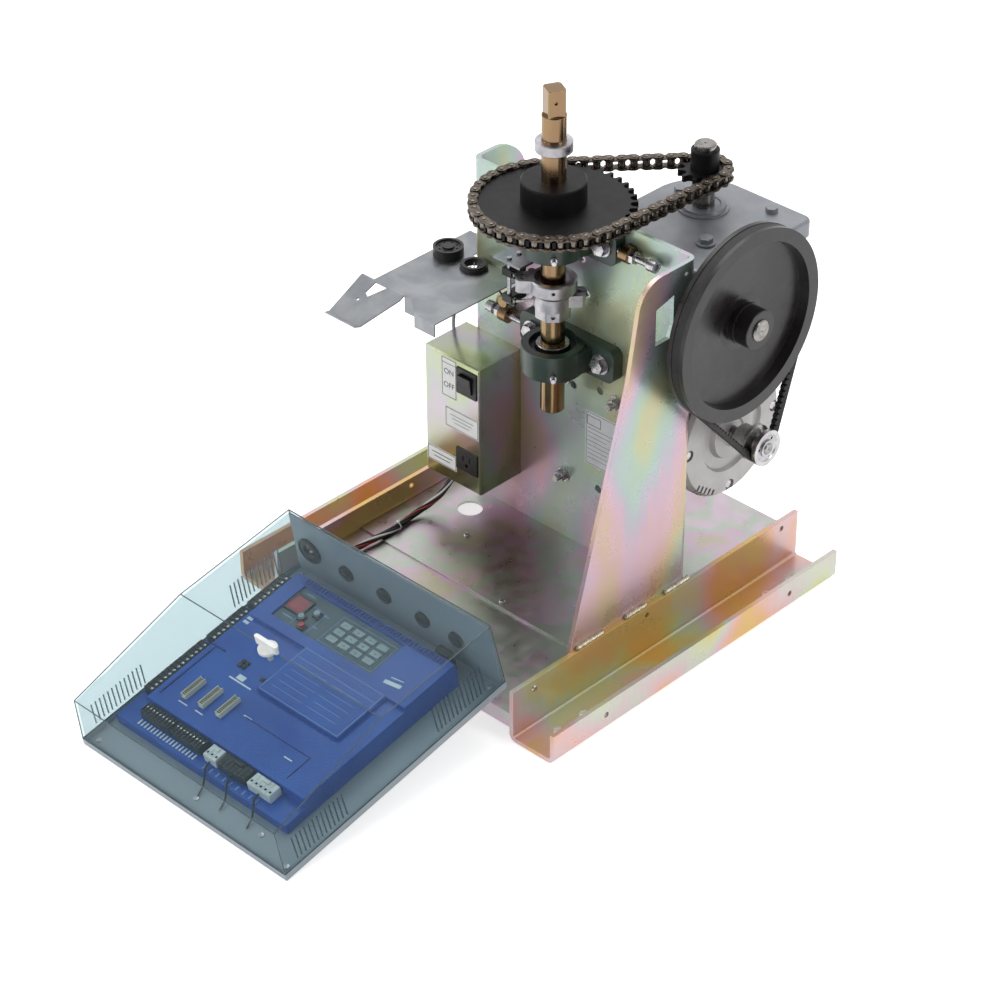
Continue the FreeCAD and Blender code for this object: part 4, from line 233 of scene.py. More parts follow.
panel_zinc = chromate("yellow chromate on shelf plate", panel_drifts, 140.0, (0.22, 0.34), 0.7)
rail_zinc = chromate("yellow chromate on rails", rail_drifts, 150.0, (0.26, 0.38), 0.62, tall=0.9)
box_zinc = chromate("yellow chromate on box sheet", box_drifts, 130.0, (0.17, 0.27), 0.97)
shaft_zinc = chromate("yellow chromate on turned bar", bar_drifts, 60.0, (0.14, 0.22), 1.0)
hardware_zinc = chromate("yellow chromate on hardware", bar_drifts, 16.0, (0.2, 0.32), 1.0)


def bright_zinc(name, pairs, patch_mm, gloss, grain_mm=1.2, depth=0.02, edge=0.4):
    """Bright zinc plate: cool grey with a faint blue and pink cast, and fine grain under it."""
    material, tree, place = new_finish(name)
    blots = add(tree, "TexNoise", {
        "Vector": place, "Scale": per(patch_mm), "Detail": 3.0, "Roughness": 0.5, "Distortion": 0.4,
    })
    dull = add(tree, "TexNoise", {
        "Vector": place, "Scale": per(patch_mm / 4), "Detail": 4.0, "Roughness": 0.6,
    })
    grain = add(tree, "TexNoise", {"Vector": place, "Scale": per(grain_mm), "Detail": 4.0, "Roughness": 0.6})
    edges = add(tree, "Bevel", {"Radius": edge * MM}, samples=4)
    shader = add(tree, "BsdfPrincipled", {
        "Base Color": add(tree, "ValToRGB", {"Fac": blots}, pairs, "EASE"),
        "Metallic": 1.0,
        "Roughness": add(tree, "MapRange", {"Value": dull, **SPAN, "To Min": gloss[0], "To Max": gloss[1]}),
        "Normal": add(tree, "Bump", {"Height": grain, "Distance": depth * MM, "Normal": edges}),
    })
    add(tree, "OutputMaterial", {"Surface": shader})
    return material


fastener_zinc = bright_zinc(
    "bright zinc on fasteners", ((0.35, "#C6C5C2"), (0.65, "#AFAAB4")), 9.0, (0.2, 0.34)
)
weld_zinc = bright_zinc(
    "bright zinc on weld beads", ((0.35, "#D2C9B4"), (0.65, "#A89C86")), 5.0, (0.24, 0.4), 0.9, 0.08
)
turned_zinc = bright_zinc(
    "bright zinc on turned rings", ((0.35, "#B4B1B3"), (0.65, "#9C9A9F")), 18.0, (0.3, 0.44), 1.0, 0.04
)
sheave_zinc = bright_zinc(
    "bright zinc on small sheave", ((0.35, "#BEBDBC"), (0.65, "#AAA8AC")), 14.0, (0.26, 0.36), 0.9, 0.006
)
deck_zinc = bright_zinc(
    "zinc on deck sheet", ((0.34, "#B5AF9E"), (0.45, "#BEABB8"), (0.55, "#B0B7AE"), (0.66, "#C4B4C0")),
    85.0, (0.26, 0.4), 1.7, 0.05, 0.7,
)
galvanised = bright_zinc(
    "galvanised sheet", ((0.35, "#97999C"), (0.65, "#85888C")), 40.0, (0.28, 0.4), 2.2, 0.03, 0.6
)
ground_steel = bright_zinc(
    "ground steel shaft", ((0.35, "#9C9995"), (0.65, "#7F7C79")), 12.0, (0.18, 0.32), 0.9, 0.02
)


def lathe_black(name, pairs, middle, axis, ring_mm, metal, gloss, shine=0.5):
    """Dark turned steel: concentric tool rings about its own axis, darker oil patches over them."""
    material, tree, place = new_finish(name)
    about = add(tree, "Mapping", {"Vector": place, "Location": tuple(-value * MM for value in middle)})
    wave = {"Vector": about, "Scale": per(ring_mm), "Distortion": 0.6, "Detail": 2.0, "Detail Scale": 2.0}
    rings = add(tree, "TexWave", wave, wave_type="RINGS", rings_direction=axis).outputs["Fac"]
    oil = add(tree, "TexNoise", {"Vector": place, "Scale": per(30.0), "Detail": 4.0, "Roughness": 0.6})
    dull = add(tree, "TexNoise", {"Vector": place, "Scale": per(14.0), "Detail": 5.0})
    grain = add(tree, "TexNoise", {"Vector": place, "Scale": per(1.1), "Detail": 3.0})
    edges = add(tree, "Bevel", {"Radius": 0.5 * MM}, samples=4)
    turned = add(tree, "Bump", {"Height": rings, "Distance": 0.012 * MM, "Normal": edges})
    shader = add(tree, "BsdfPrincipled", {
        "Base Color": add(tree, "ValToRGB", {"Fac": oil}, pairs),
        "Metallic": metal,
        "Roughness": add(tree, "MapRange", {"Value": dull, **SPAN, "To Min": gloss[0], "To Max": gloss[1]}),
        "Specular IOR Level": shine,
        "Normal": add(tree, "Bump", {"Height": grain, "Distance": 0.015 * MM, "Normal": turned}),
    })
    add(tree, "OutputMaterial", {"Surface": shader})
    return material


sprocket_black = lathe_black(
    "black oxide on sprockets", ((0.3, "#0E0D0E"), (0.7, "#171516")), (*SHAFT, 0.0), "Z", 3.0, 0.2,
    (0.36, 0.46), 0.22,
)
sheave_black = lathe_black(
    "black enamel on large sheave", ((0.3, "#171415"), (0.7, "#221E1F")), (0.0, *LARGE_SHEAVE), "X", 9.0, 0.1,
    (0.26, 0.36),
)


def enamel(name, code, second, gloss, grain_mm, depth, metal=0.0):
    """Sprayed enamel over a casting: even colour, an orange-peel skin over the sand texture."""
    material, tree, place = new_finish(name)
    tone = add(tree, "TexNoise", {"Vector": place, "Scale": per(30.0), "Detail": 4.0, "Roughness": 0.6})
    dull = add(tree, "TexNoise", {"Vector": place, "Scale": per(20.0), "Detail": 3.0})
    sand = add(tree, "TexNoise", {"Vector": place, "Scale": per(grain_mm), "Detail": 4.0, "Roughness": 0.6})
    peel = add(tree, "TexNoise", {"Vector": place, "Scale": per(grain_mm * 5), "Detail": 2.0})
    edges = add(tree, "Bevel", {"Radius": 1.0 * MM}, samples=4)
    cast = add(tree, "Bump", {"Height": sand, "Distance": depth * MM, "Normal": edges})
    shader = add(tree, "BsdfPrincipled", {
        "Base Color": add(tree, "ValToRGB", {"Fac": tone}, ((0.3, code), (0.7, second))),
        "Metallic": metal,
        "Roughness": add(tree, "MapRange", {"Value": dull, **SPAN, "To Min": gloss, "To Max": gloss + 0.1}),
        "Coat Weight": 0.25,
        "Coat Roughness": 0.25,
        "Normal": add(tree, "Bump", {"Height": peel, "Distance": depth * 1.5 * MM, "Normal": cast}),
    })
    add(tree, "OutputMaterial", {"Surface": shader})
    return material


green_enamel = enamel("dark green enamel on castings", "#1E2F27", "#2A3C32", 0.3, 1.8, 0.09)
reducer_enamel = enamel("silver grey enamel on reducer", "#7B7E83", "#888A8F", 0.34, 2.2, 0.09, 0.45)
motor_enamel = enamel("grey enamel on motor", "#55585C", "#606366", 0.36, 2.2, 0.06)
bell_enamel = enamel("aluminium paint on motor bells", "#A9A6A6", "#B8B4B3", 0.36, 2.2, 0.08, 0.3)


def moulded(name, code, second, gloss, grain_mm=0.9, depth=0.02, spread=25.0):
    """Moulded plastic: nearly even colour under a fine spark-eroded grain."""
    material, tree, place = new_finish(name)
    tone = add(tree, "TexNoise", {"Vector": place, "Scale": per(spread), "Detail": 3.0})
    dull = add(tree, "TexNoise", {"Vector": place, "Scale": per(spread / 3), "Detail": 3.0})
    grain = add(tree, "TexNoise", {"Vector": place, "Scale": per(grain_mm), "Detail": 3.0, "Roughness": 0.6})
    edges = add(tree, "Bevel", {"Radius": 0.3 * MM}, samples=4)
    shader = add(tree, "BsdfPrincipled", {
        "Base Color": add(tree, "ValToRGB", {"Fac": tone}, ((0.35, code), (0.65, second))),
        "Roughness": add(tree, "MapRange", {"Value": dull, **SPAN, "To Min": gloss, "To Max": gloss + 0.08}),
        "IOR": 1.5,
        "Normal": add(tree, "Bump", {"Height": grain, "Distance": depth * MM, "Normal": edges}),
    })
    add(tree, "OutputMaterial", {"Surface": shader})
    return material


black_plastic = moulded("black nylon", "#141414", "#1E1E1E", 0.4)
grey_plastic = moulded("grey ABS base", "#919AA1", "#959EA5", 0.38)
blue_plastic = moulded("blue ABS housing", "#0A46A2", "#1052B0", 0.3, 1.1, 0.015, 60.0)
deep_blue = moulded("deep blue ABS ribs", "#0E2A74", "#14338A", 0.36)
panel_grey = moulded("grey keypad panel", "#43545C", "#4E5F66", 0.4)
key_rubber = moulded("pale silicone keys", "#8FA0A3", "#A3B2B3", 0.42)
red_cap = moulded("red button cap", "#B01826", "#C2222E", 0.3)
white_plastic = moulded("white nylon", "#D6D8D6", "#E6E7E4", 0.36)
cream_plastic = moulded("cream connector", "#D6D2BC", "#E2DECA", 0.42)
red_filter = moulded("red display filter", "#8A1220", "#A01A28", 0.16, 0.9, 0.004)
cable_black = moulded("black PVC jacket", "#121212", "#1C1C1C", 0.34)
cable_red = moulded("red PVC wire", "#7E1A1E", "#92242A", 0.36)
cable_white = moulded("white PVC wire", "#C9C8C2", "#D8D7D2", 0.38)
cable_grey = moulded("grey PVC jacket", "#8C8E8C", "#9A9C9A", 0.4)
printed_white = moulded("white printing ink", "#D9E2EA", "#E6ECF0", 0.5)
printed_pale = moulded("pale blue printing ink", "#6F94CE", "#7FA2D6", 0.5)
printed_black = moulded("black printing ink", "#1A1A1A", "#242424", 0.5)
paper_white = moulded("white vinyl label", "#DDDEDC", "#E9E9E6", 0.44, 1.6, 0.01)
paper_silver = moulded("silver vinyl label", "#BFC3C6", "#CDD0D2", 0.34, 1.6, 0.01)


def belt_rubber():
    """Wrapped rubber belt: black cloth over rubber, dull, with a woven skin."""
    material, tree, place = new_finish("black belt rubber")
    weave = add(tree, "TexVoronoi", {"Vector": place, "Scale": per(1.2)})
    dusty = add(tree, "TexNoise", {"Vector": place, "Scale": per(8.0), "Detail": 4.0})
    shader = add(tree, "BsdfPrincipled", {
        "Base Color": add(tree, "ValToRGB", {"Fac": dusty}, ((0.3, "#111111"), (0.7, "#232222"))),
        "Roughness": 0.62,
        "Normal": add(tree, "Bump", {"Height": weave, "Distance": 0.05 * MM}),
    })
    add(tree, "OutputMaterial", {"Surface": shader})
    return material


belt_black = belt_rubber()


def oiled_steel(name, pairs, gloss):
    """Oiled chain steel: dark bronze plates, brighter where they rub."""
    material, tree, place = new_finish(name)
    rubbed = add(tree, "TexNoise", {"Vector": place, "Scale": per(4.0), "Detail": 4.0, "Roughness": 0.65})
    dull = add(tree, "TexNoise", {"Vector": place, "Scale": per(3.0), "Detail": 3.0})
    grain = add(tree, "TexNoise", {"Vector": place, "Scale": per(0.8), "Detail": 3.0})
    edges = add(tree, "Bevel", {"Radius": 0.3 * MM}, samples=4)
    shader = add(tree, "BsdfPrincipled", {
        "Base Color": add(tree, "ValToRGB", {"Fac": rubbed}, pairs),
        "Metallic": 0.95,
        "Roughness": add(tree, "MapRange", {"Value": dull, **SPAN, "To Min": gloss[0], "To Max": gloss[1]}),
        "Normal": add(tree, "Bump", {"Height": grain, "Distance": 0.03 * MM, "Normal": edges}),
    })
    add(tree, "OutputMaterial", {"Surface": shader})
    return material


link_steel = oiled_steel(
    "oiled chain plates", ((0.3, "#3B352F"), (0.5, "#5A5149"), (0.7, "#7D7368")), (0.26, 0.42)
)
roller_steel = oiled_steel("oiled chain rollers", ((0.3, "#55504A"), (0.7, "#8E867C")), (0.2, 0.34))


def clear_cover():
    """Smoky clear acrylic: a cool tint where light passes straight on, and more haze and gloss by angle."""
    material, tree, place = new_finish("smoky clear acrylic")
    through = add(tree, "BsdfTransparent", {"Color": linear("#F0F6F7")})
    smoke = add(tree, "TexNoise", {"Vector": place, "Scale": per(90.0), "Detail": 2.0})
    haze = add(tree, "ValToRGB", {"Fac": smoke}, ((0.3, "#6C7A82"), (0.7, "#788890")))
    skin = add(tree, "BsdfPrincipled", {"Base Color": haze, "Roughness": 0.06, "IOR": 1.49})
    facing = add(tree, "LayerWeight", {"Blend": 0.28}).outputs["Facing"]
    steep = add(tree, "Math", {0: facing, 1: 3.0}, operation="POWER")
    share = add(tree, "MapRange", {"Value": steep, "To Min": 0.085, "To Max": 0.85})
    both = add(tree, "MixShader", {0: share, 1: through, 2: skin})
    add(tree, "OutputMaterial", {"Surface": both})
    return material


cover_clear = clear_cover()
# Painted shade: an opaque dark teal for the rods that stand in for the clear sheet's dark look along its
# edges and vent slits
painted_shade_cover_edge = moulded("painted shade along acrylic edges", "#3E5058", "#4A5C63", 0.12, 2.0, 0.004)

dressed = {
    plate_zinc: ["frame_plate"],
    panel_zinc: ["reducer_shelf", "motor_base"],
    rail_zinc: ["rail_left", "rail_right"],
    box_zinc: ["power_box"],
    shaft_zinc: ["output_shaft"],
    hardware_zinc: ["panel_bosses"],
    deck_zinc: ["deck_plate", "deck_front_pan"],
    galvanised: ["equipment_shelf", "switch_bracket"],
    fastener_zinc: [
        "bearing_bolts", "jack_screws", "grease_fittings", "motor_bolts", "sheet_screws",
        "hinge_box_leaves", "hinge_frame_leaves",
    ],
    sheave_zinc: ["drive_sheave"],
    turned_zinc: ["shaft_collar", "limit_cam_upper", "limit_cam_lower"],
    ground_steel: [
        "bearing_races", "motor_shaft", "reducer_output_shaft", "worm_shaft",
        "switch_lever_lower", "switch_lever_upper",
    ],
    green_enamel: ["pillow_block_lower", "pillow_block_upper"],
    sprocket_black: ["drive_sprocket", "pinion_sprocket"],
    sheave_black: ["driven_sheave"],
    reducer_enamel: ["reducer_case", "reducer_caps"],
    motor_enamel: ["motor_shell"],
    bell_enamel: ["motor_bells"],
    black_plastic: [
        "bearing_seals", "cable_entry_plugs", "limit_switches", "power_fittings", "power_rocker",
        "shelf_fittings", "board_connectors",
    ],
    grey_plastic: ["control_base"],
    blue_plastic: ["board_housing"],
    key_rubber: ["keypad", "open_button", "close_button"],
    red_cap: ["reset_button"],
    red_filter: ["display_window"],
    white_plastic: ["cover_latch"],
    cable_black: ["control_harness", "shelf_leads", "switch_lead"],
    cable_grey: ["board_leads"],
    belt_black: ["v_belt"],
    link_steel: ["roller_chain"],
    cover_clear: ["control_cover"],
}
for material, names in dressed.items():
    for name in names:
        cad[name].data.materials.clear()
        cad[name].data.materials.append(material)


# Mesh building, in millimetres

FULL_TURN = 2 * math.pi
STAY = Matrix.Identity(4)
UP_IS_FRONT = Matrix.Rotation(math.pi / 2, 4, "X")


def spot(x, y, z, turn=0.0, axis="Z"):
    """A place, and a turn there by some degrees."""
    return Matrix.Translation((x, y, z)) @ Matrix.Rotation(math.radians(turn), 4, axis)


# The control box's hinge line and tilt, and its base's left and front edges from that line
BOX = spot(0, -282.0, 72.1594, 12.0, "X")
BASE_LEFT, BASE_FRONT, BASE_WIDE = -166.0, -380.0, 376.0


def in_box(x, y, z=0.0, turn=0.0):
    """A place in the control box: across from its left edge, along from its front edge, and up."""
    return BOX @ spot(x + BASE_LEFT, y + BASE_FRONT, z, turn)


def box_point(x, y, z):
    """A point in the control box, by the same measures."""
    return BOX @ Vector((x + BASE_LEFT, y + BASE_FRONT, z))


def moved(bm, place):
    """The mesh itself, set in place."""
    bmesh.ops.transform(bm, matrix=place, verts=bm.verts)
    return bm


def put(whole, part, place=STAY):
    """Add a part's mesh to a whole, set in place."""
    holder = bpy.data.meshes.new("part")
    moved(part, place).to_mesh(holder)
    part.free()
    whole.from_mesh(holder)
    bpy.data.meshes.remove(holder)


def corners(found):
    """The corners among what a mesh step made."""
    return [item for item in found if isinstance(item, bmesh.types.BMVert)]


def brick(x, y, z, soft):
    """A block centred across, standing on its base, with broken edges."""
    bm = bmesh.new()
    bmesh.ops.create_cube(bm, size=1.0)
    bmesh.ops.scale(bm, vec=(x, y, z), verts=bm.verts)
    if soft:
        broken = bm.edges[:]
        bmesh.ops.bevel(bm, geom=broken, offset=soft, segments=1, affect="EDGES", profile=0.5, material=-1)
    bmesh.ops.translate(bm, vec=(0, 0, z / 2), verts=bm.verts)
    return bm


def drum(radius, height, sides, soft, top=None):
    """A round boss standing on its base, with broken rims."""
    bm = bmesh.new()
    top = radius if top is None else top
    bmesh.ops.create_cone(bm, cap_ends=True, segments=sides, radius1=radius, radius2=top, depth=height)
    if soft:
        rims = [e for e in bm.edges if abs(e.verts[0].co.z - e.verts[1].co.z) < 1e-6]
        bmesh.ops.bevel(bm, geom=rims, offset=soft, segments=2, affect="EDGES", profile=0.5, material=-1)
    bmesh.ops.translate(bm, vec=(0, 0, height / 2), verts=bm.verts)
    return bm


def pebble(radius, flat, rough):
    """A lump: a sphere pressed flat, its skin pushed about a little."""
    bm = bmesh.new()
    bmesh.ops.create_icosphere(bm, subdivisions=2, radius=radius)
    for vertex in bm.verts:
        vertex.co *= 1 + rough * random.uniform(-1, 1)
    bmesh.ops.scale(bm, vec=(1, 1, flat), verts=bm.verts)
    return bm


def ring(radius, thickness, sides, section, half=False):
    """A round hoop lying flat, or the half of one with closed ends."""
    bm = bmesh.new()
    bmesh.ops.create_circle(bm, segments=section, radius=thickness)
    moved(bm, Matrix.Translation((radius, 0, 0)) @ UP_IS_FRONT)
    bmesh.ops.spin(
        bm, geom=bm.verts[:] + bm.edges[:], angle=math.pi if half else FULL_TURN, steps=sides, axis=(0, 0, 1),
        cent=(0, 0, 0), use_merge=not half,
    )
    if half:
        bmesh.ops.holes_fill(bm, edges=[edge for edge in bm.edges if edge.is_boundary])
    return bm


def frame_lines(width, height, line, thick):
    """A thin printed frame: four strips."""
    bm = bmesh.new()
    for side in (-1, 1):
        put(bm, brick(width, line, thick, 0), spot(0, side * (height - line) / 2, 0))
        put(bm, brick(line, height, thick, 0), spot(side * (width - line) / 2, 0, 0))
    return bm


def carried_by(node):
    """The body that a CAD node rides on."""
    return body_of(cad[node])[0]


def finished(name, bm, material, body=None, instead_of=(), sharp=38.0):
    """The mesh as a piece of the object: in metres, smooth up to its edges, and riding on its body."""
    bmesh.ops.scale(bm, vec=(MM, MM, MM), verts=bm.verts)
    bmesh.ops.recalc_face_normals(bm, faces=bm.faces)
    mesh = bpy.data.meshes.new(name)
    bm.to_mesh(mesh)
    bm.free()
    mesh.shade_smooth()
    mesh.set_sharp_from_angle(angle=math.radians(sharp))
    mesh.materials.append(material)
    piece = linked(name, mesh)
    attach(piece, body or carried_by(instead_of[0]))
    if instead_of:
        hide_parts(*instead_of)


# Cords: each is one smooth line through its own control points


def cord_curve(name, points, radius, material):
    """A cord as a smooth round curve through its control points."""
    curve = bpy.data.curves.new(name, "CURVE")
    curve.dimensions = "3D"
    spline = curve.splines.new("NURBS")
    spline.points.add(len(points) - 1)
    for point, place in zip(spline.points, points):
        point.co = (*(Vector(place) * MM), 1.0)
    spline.order_u = 3
    spline.use_endpoint_u = True
    spline.resolution_u = 10
    curve.bevel_depth = radius * MM
    curve.bevel_resolution = 3
    curve.use_fill_caps = True
    curve.materials.append(material)
    return linked(name, curve)


def meshed(holder):
    """The mesh of a curve or of characters, whose own object is taken away."""
    mesh = bpy.data.meshes.new_from_object(holder)
    bpy.data.objects.remove(holder)
    return mesh


def followed(route):
    """The points of the smooth line that a cord takes along its route."""
    mesh = meshed(cord_curve("line", route, 0.0, cable_black))
    points = [vertex.co.copy() for vertex in mesh.vertices]
    bpy.data.meshes.remove(mesh)
    return points


def run_length(points):
    """The length along some points, in metres."""
    return sum((b - a).length for a, b in zip(points, points[1:]))


def bundle(name, path, radius, wire, materials, turns):
    """Wires laid along a path in a loose twist, one in the middle and the others round it, as one mesh."""
    curve = bpy.data.curves.new(name, "CURVE")
    curve.dimensions = "3D"
    whole = run_length(path)
    outer_wires = len(materials) - 1
    for k, material in enumerate(materials):
        spline = curve.splines.new("POLY")
        spline.points.add(len(path) - 1)
        way = 0.0
        across = Vector((1, 0, 0))
        for i, place in enumerate(path):
            ahead = (path[min(i + 1, len(path) - 1)] - path[max(i - 1, 0)]).normalized()
            across = (across - ahead * across.dot(ahead)).normalized()
            beside = ahead.cross(across)
            angle = FULL_TURN * (k / outer_wires + turns * way / whole)
            reach = 0.0 if k == 0 else (radius - wire) * MM
            offset = across * (reach * math.cos(angle)) + beside * (reach * math.sin(angle))
            spline.points[i].co = (*(place + offset), 1.0)
            if i + 1 < len(path):
                way += (path[i + 1] - place).length
        spline.material_index = k
        curve.materials.append(material)
    curve.bevel_depth = wire * MM
    curve.bevel_resolution = 2
    curve.use_fill_caps = True
    mesh = meshed(linked(name, curve))
    mesh.name = name
    return linked(name, mesh)


def make_cords():
    """The harness over the deck to the control box, the leads of shelf and switches, and the board leads."""
    path = followed([
        (-152, 2, 112), (-156, -14, 82), (-168, -34, 60), (-176, -62, 50.2), (-171, -94, 49.2),
        (-173, -128, 49.0), (-176, -161, 48.6), (-170, -194, 53), (-157, -222, 69), (-143, -244, 93),
        (-133, -265, 120), (-130, -292, 132),
    ])
    wires = [cable_black, cable_black, cable_red, cable_black, cable_white, cable_black, cable_grey]
    harness = bundle("harness_wires", path, 4.5, 1.5, wires, 3.0)
    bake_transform(harness, "frame", "control_box", (0, -262 * MM, 0), (0, -296 * MM, 0))
    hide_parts("control_harness")
    shelf = [
        (-145, 29, 408), (-150, 31, 384), (-168, 34, 362), (-185, 36, 340), (-192, 36, 314), (-191, 36, 290),
        (-178, 36, 272),
    ]
    switch = [
        (-46, 1, 421), (-47, 6, 408), (-56, 13, 398), (-68, 18, 393), (-82, 21, 396), (-96, 25, 401),
        (-112, 28, 404.5), (-128, 30, 405.5),
    ]
    routes = [("shelf_lead", shelf, 2.5, "shelf_leads", cable_grey, "medium")]
    routes.append(("limit_switch_lead", switch, 1.3, "switch_lead", cable_black, "limp"))
    plug_front, floor = 63.7, 10
    for number, across in enumerate((176, 216, 265)):
        drop = [(0, 0, 20), (1, -7, 21), (4, -14, 16), (8, -20, 9), (12, -28, 4.5), (14, -38, 2.2)]
        lead = [box_point(across + x, y + plug_front, z + floor) for x, y, z in drop]
        routes.append(("board_lead_%d" % (number + 1), lead, 1.3, "board_leads", cable_black, "limp"))
    for name, points, radius, node, material, stiffness in routes:
        piece = cord_curve(name, points, radius, material)
        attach(piece, carried_by(node))
        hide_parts(node)
        run_length(followed(points))


make_cords()


def tapered_sleeve(name, start, toward, wide, narrow, long, body):
    """A ribbed rubber strain relief, from its housing along the cord that leaves there."""
    sleeve, ribs = bmesh.new(), 5
    put(sleeve, drum(wide, long, 24, 0.4, narrow))
    for step in range(ribs):
        share = (step + 0.5) / ribs
        put(sleeve, ring(wide + (narrow - wide) * share, 0.45, 24, 6), spot(0, 0, long * share))
    ahead = Vector(toward) - Vector(start)
    turn = Vector((0, 0, 1)).rotation_difference(ahead).to_matrix().to_4x4()
    finished(name, moved(sleeve, Matrix.Translation(start) @ turn), black_plastic, body)


def make_sleeves():
    """Strain reliefs on the harness and leads, and the white tie that gathers the harness."""
    tapered_sleeve("harness_sleeve", (-152, 2, 117), (-156, -14, 88), 7.4, 5.2, 17, "frame")
    tapered_sleeve("entry_sleeve", (-131, -284, 128.4), (-133, -265, 120), 9.0, 5.3, 18, "control_box")
    tapered_sleeve("shelf_sleeve", (-145, 29, 409), (-150, 31, 384), 4.4, 3.0, 11, "frame")
    tapered_sleeve("supply_sleeve", (-178, 36, 272), (-190, 36, 289), 4.4, 3.0, 11, "frame")
    tie = bmesh.new()
    put(tie, ring(5.6, 0.8, 28, 6), spot(-172.6, -94, 49.4) @ UP_IS_FRONT)
    put(tie, brick(5.0, 3.4, 3.4, 0.5), spot(-172.6, -94, 54.4))
    put(tie, brick(1.8, 1.0, 9.0, 0.2), spot(-171.0, -94, 56.5, 24, "Y"))
    finished("harness_tie", tie, white_plastic, "frame")


make_sleeves()


def make_welds():
    """The scales of the three weld beads where the side plate stands on the right rail."""
    plate_side, rail_top, step_mm = 216.6, 78.7, 3.1
    beads = bmesh.new()
    for low, high in ((-155, -110), (-63, -28), (13, 56)):
        steps = round((high - low) / step_mm)
        for step in range(steps + 1):
            along = low + (high - low) * step / steps
            wander = 0.35 * math.sin(step * 2.1)
            place = spot(plate_side + wander, along, rail_top, 45, "Y") @ spot(0, 0, 0, 24, "X")
            put(beads, pebble(3.5, 0.62, 0.05), place)
    finished("weld_scales", beads, weld_zinc, "frame", (), 80.0)


make_welds()


def make_grommet_wires():
    """Tinned wire ends that stand up in the shelf's grommet, and the black wire looped out of it."""
    middle_x, middle_y, level, round_it = -145, 29, 407, 6.2
    ends = bmesh.new()
    for turn in range(0, 360, 45):
        about = math.radians(turn)
        x, y = middle_x + round_it * math.cos(about), middle_y + round_it * math.sin(about)
        put(ends, drum(0.8, 7 + turn % 4, 10, 0.2), spot(x, y, level, 6, "Y"))
    finished("grommet_wires", ends, fastener_zinc, "frame")
    loop = moved(ring(8.0, 1.0, 18, 10, half=True), spot(-133, 33, 411.5, 20) @ UP_IS_FRONT)
    finished("grommet_loop", loop, cable_black, "frame")


make_grommet_wires()


# Roller chain: 5/8 inch pitch, round 40 and 12 teeth, laid out flat with the large wheel at the origin

PITCH = 15.875
CHAIN_PITCHES = 54
BIG_TEETH, SMALL_TEETH = 40, 12
WHEEL_DISTANCE = 210.19705
HALF_GAP, PLATE = 4.7, 2.03
INNER_END, OUTER_END = 7.1, 6.5
ROLLER, PIN = 5.08, 2.54
CHAIN = spot(*SHAFT, 578.0, 67.6)


def chain_pins():
    """Pin places along the loop round both wheels."""
    big, small = (PITCH / 2 / math.sin(math.pi / teeth) for teeth in (BIG_TEETH, SMALL_TEETH))
    lean = math.acos((big - small) / WHEEL_DISTANCE)
    straight = math.sqrt(WHEEL_DISTANCE**2 - (big - small) ** 2)
    big_arc, small_arc = big * (FULL_TURN - 2 * lean), small * 2 * lean
    whole = big_arc + small_arc + 2 * straight
    ahead = Vector((WHEEL_DISTANCE, 0))

    def pin(way):
        """The loop's point at a length along it."""
        way = way % whole
        if way < big_arc:
            t = lean + way / big
            return Vector((math.cos(t), math.sin(t))) * big
        way -= big_arc
        rim = Vector((math.cos(lean), -math.sin(lean)))
        if way < straight:
            return (rim * big).lerp(ahead + rim * small, way / straight)
        way -= straight
        if way < small_arc:
            t = -lean + way / small
            return ahead + Vector((math.cos(t), math.sin(t))) * small
        rim.y = -rim.y
        return (ahead + rim * small).lerp(rim * big, (way - small_arc) / straight)

    way, pins = 0.0, []
    for i in range(CHAIN_PITCHES):
        pins.append(pin(way))
        low, high = way + PITCH * 0.9, way + PITCH * 1.2
        for step in range(40):
            middle = (low + high) / 2
            if (pin(way) - pin(middle)).length < PITCH:
                low = middle
            else:
                high = middle
        way = low
    return pins


def link_plate(radius):
    """A link plate with round ends and a waist, from the first pin to the next."""
    bm = bmesh.new()
    for x in (0, PITCH):
        bmesh.ops.create_circle(bm, segments=14, radius=radius, matrix=Matrix.Translation((x, 0, 0)))
    hull = bmesh.ops.convex_hull(bm, input=bm.verts[:])
    spare = set(corners(hull["geom_interior"] + hull["geom_unused"]))
    bmesh.ops.delete(bm, geom=list(spare), context="VERTS")
    bmesh.ops.dissolve_limit(bm, angle_limit=0.01, verts=bm.verts, edges=bm.edges)
    for share in (0.3, 0.42, 0.58, 0.7):
        cut = bm.verts[:] + bm.edges[:] + bm.faces[:]
        bmesh.ops.bisect_plane(bm, geom=cut, plane_co=(PITCH * share, 0, 0), plane_no=(1, 0, 0))
    for vertex in bm.verts:
        share = vertex.co.x / PITCH
        if 0.2 < share < 0.8:
            vertex.co.y *= 1 - 0.26 * math.sin(math.pi * (share - 0.15) / 0.7) ** 2
    top = bmesh.ops.extrude_face_region(bm, geom=bm.faces[:])
    bmesh.ops.translate(bm, vec=(0, 0, PLATE), verts=corners(top["geom"]))
    return bm


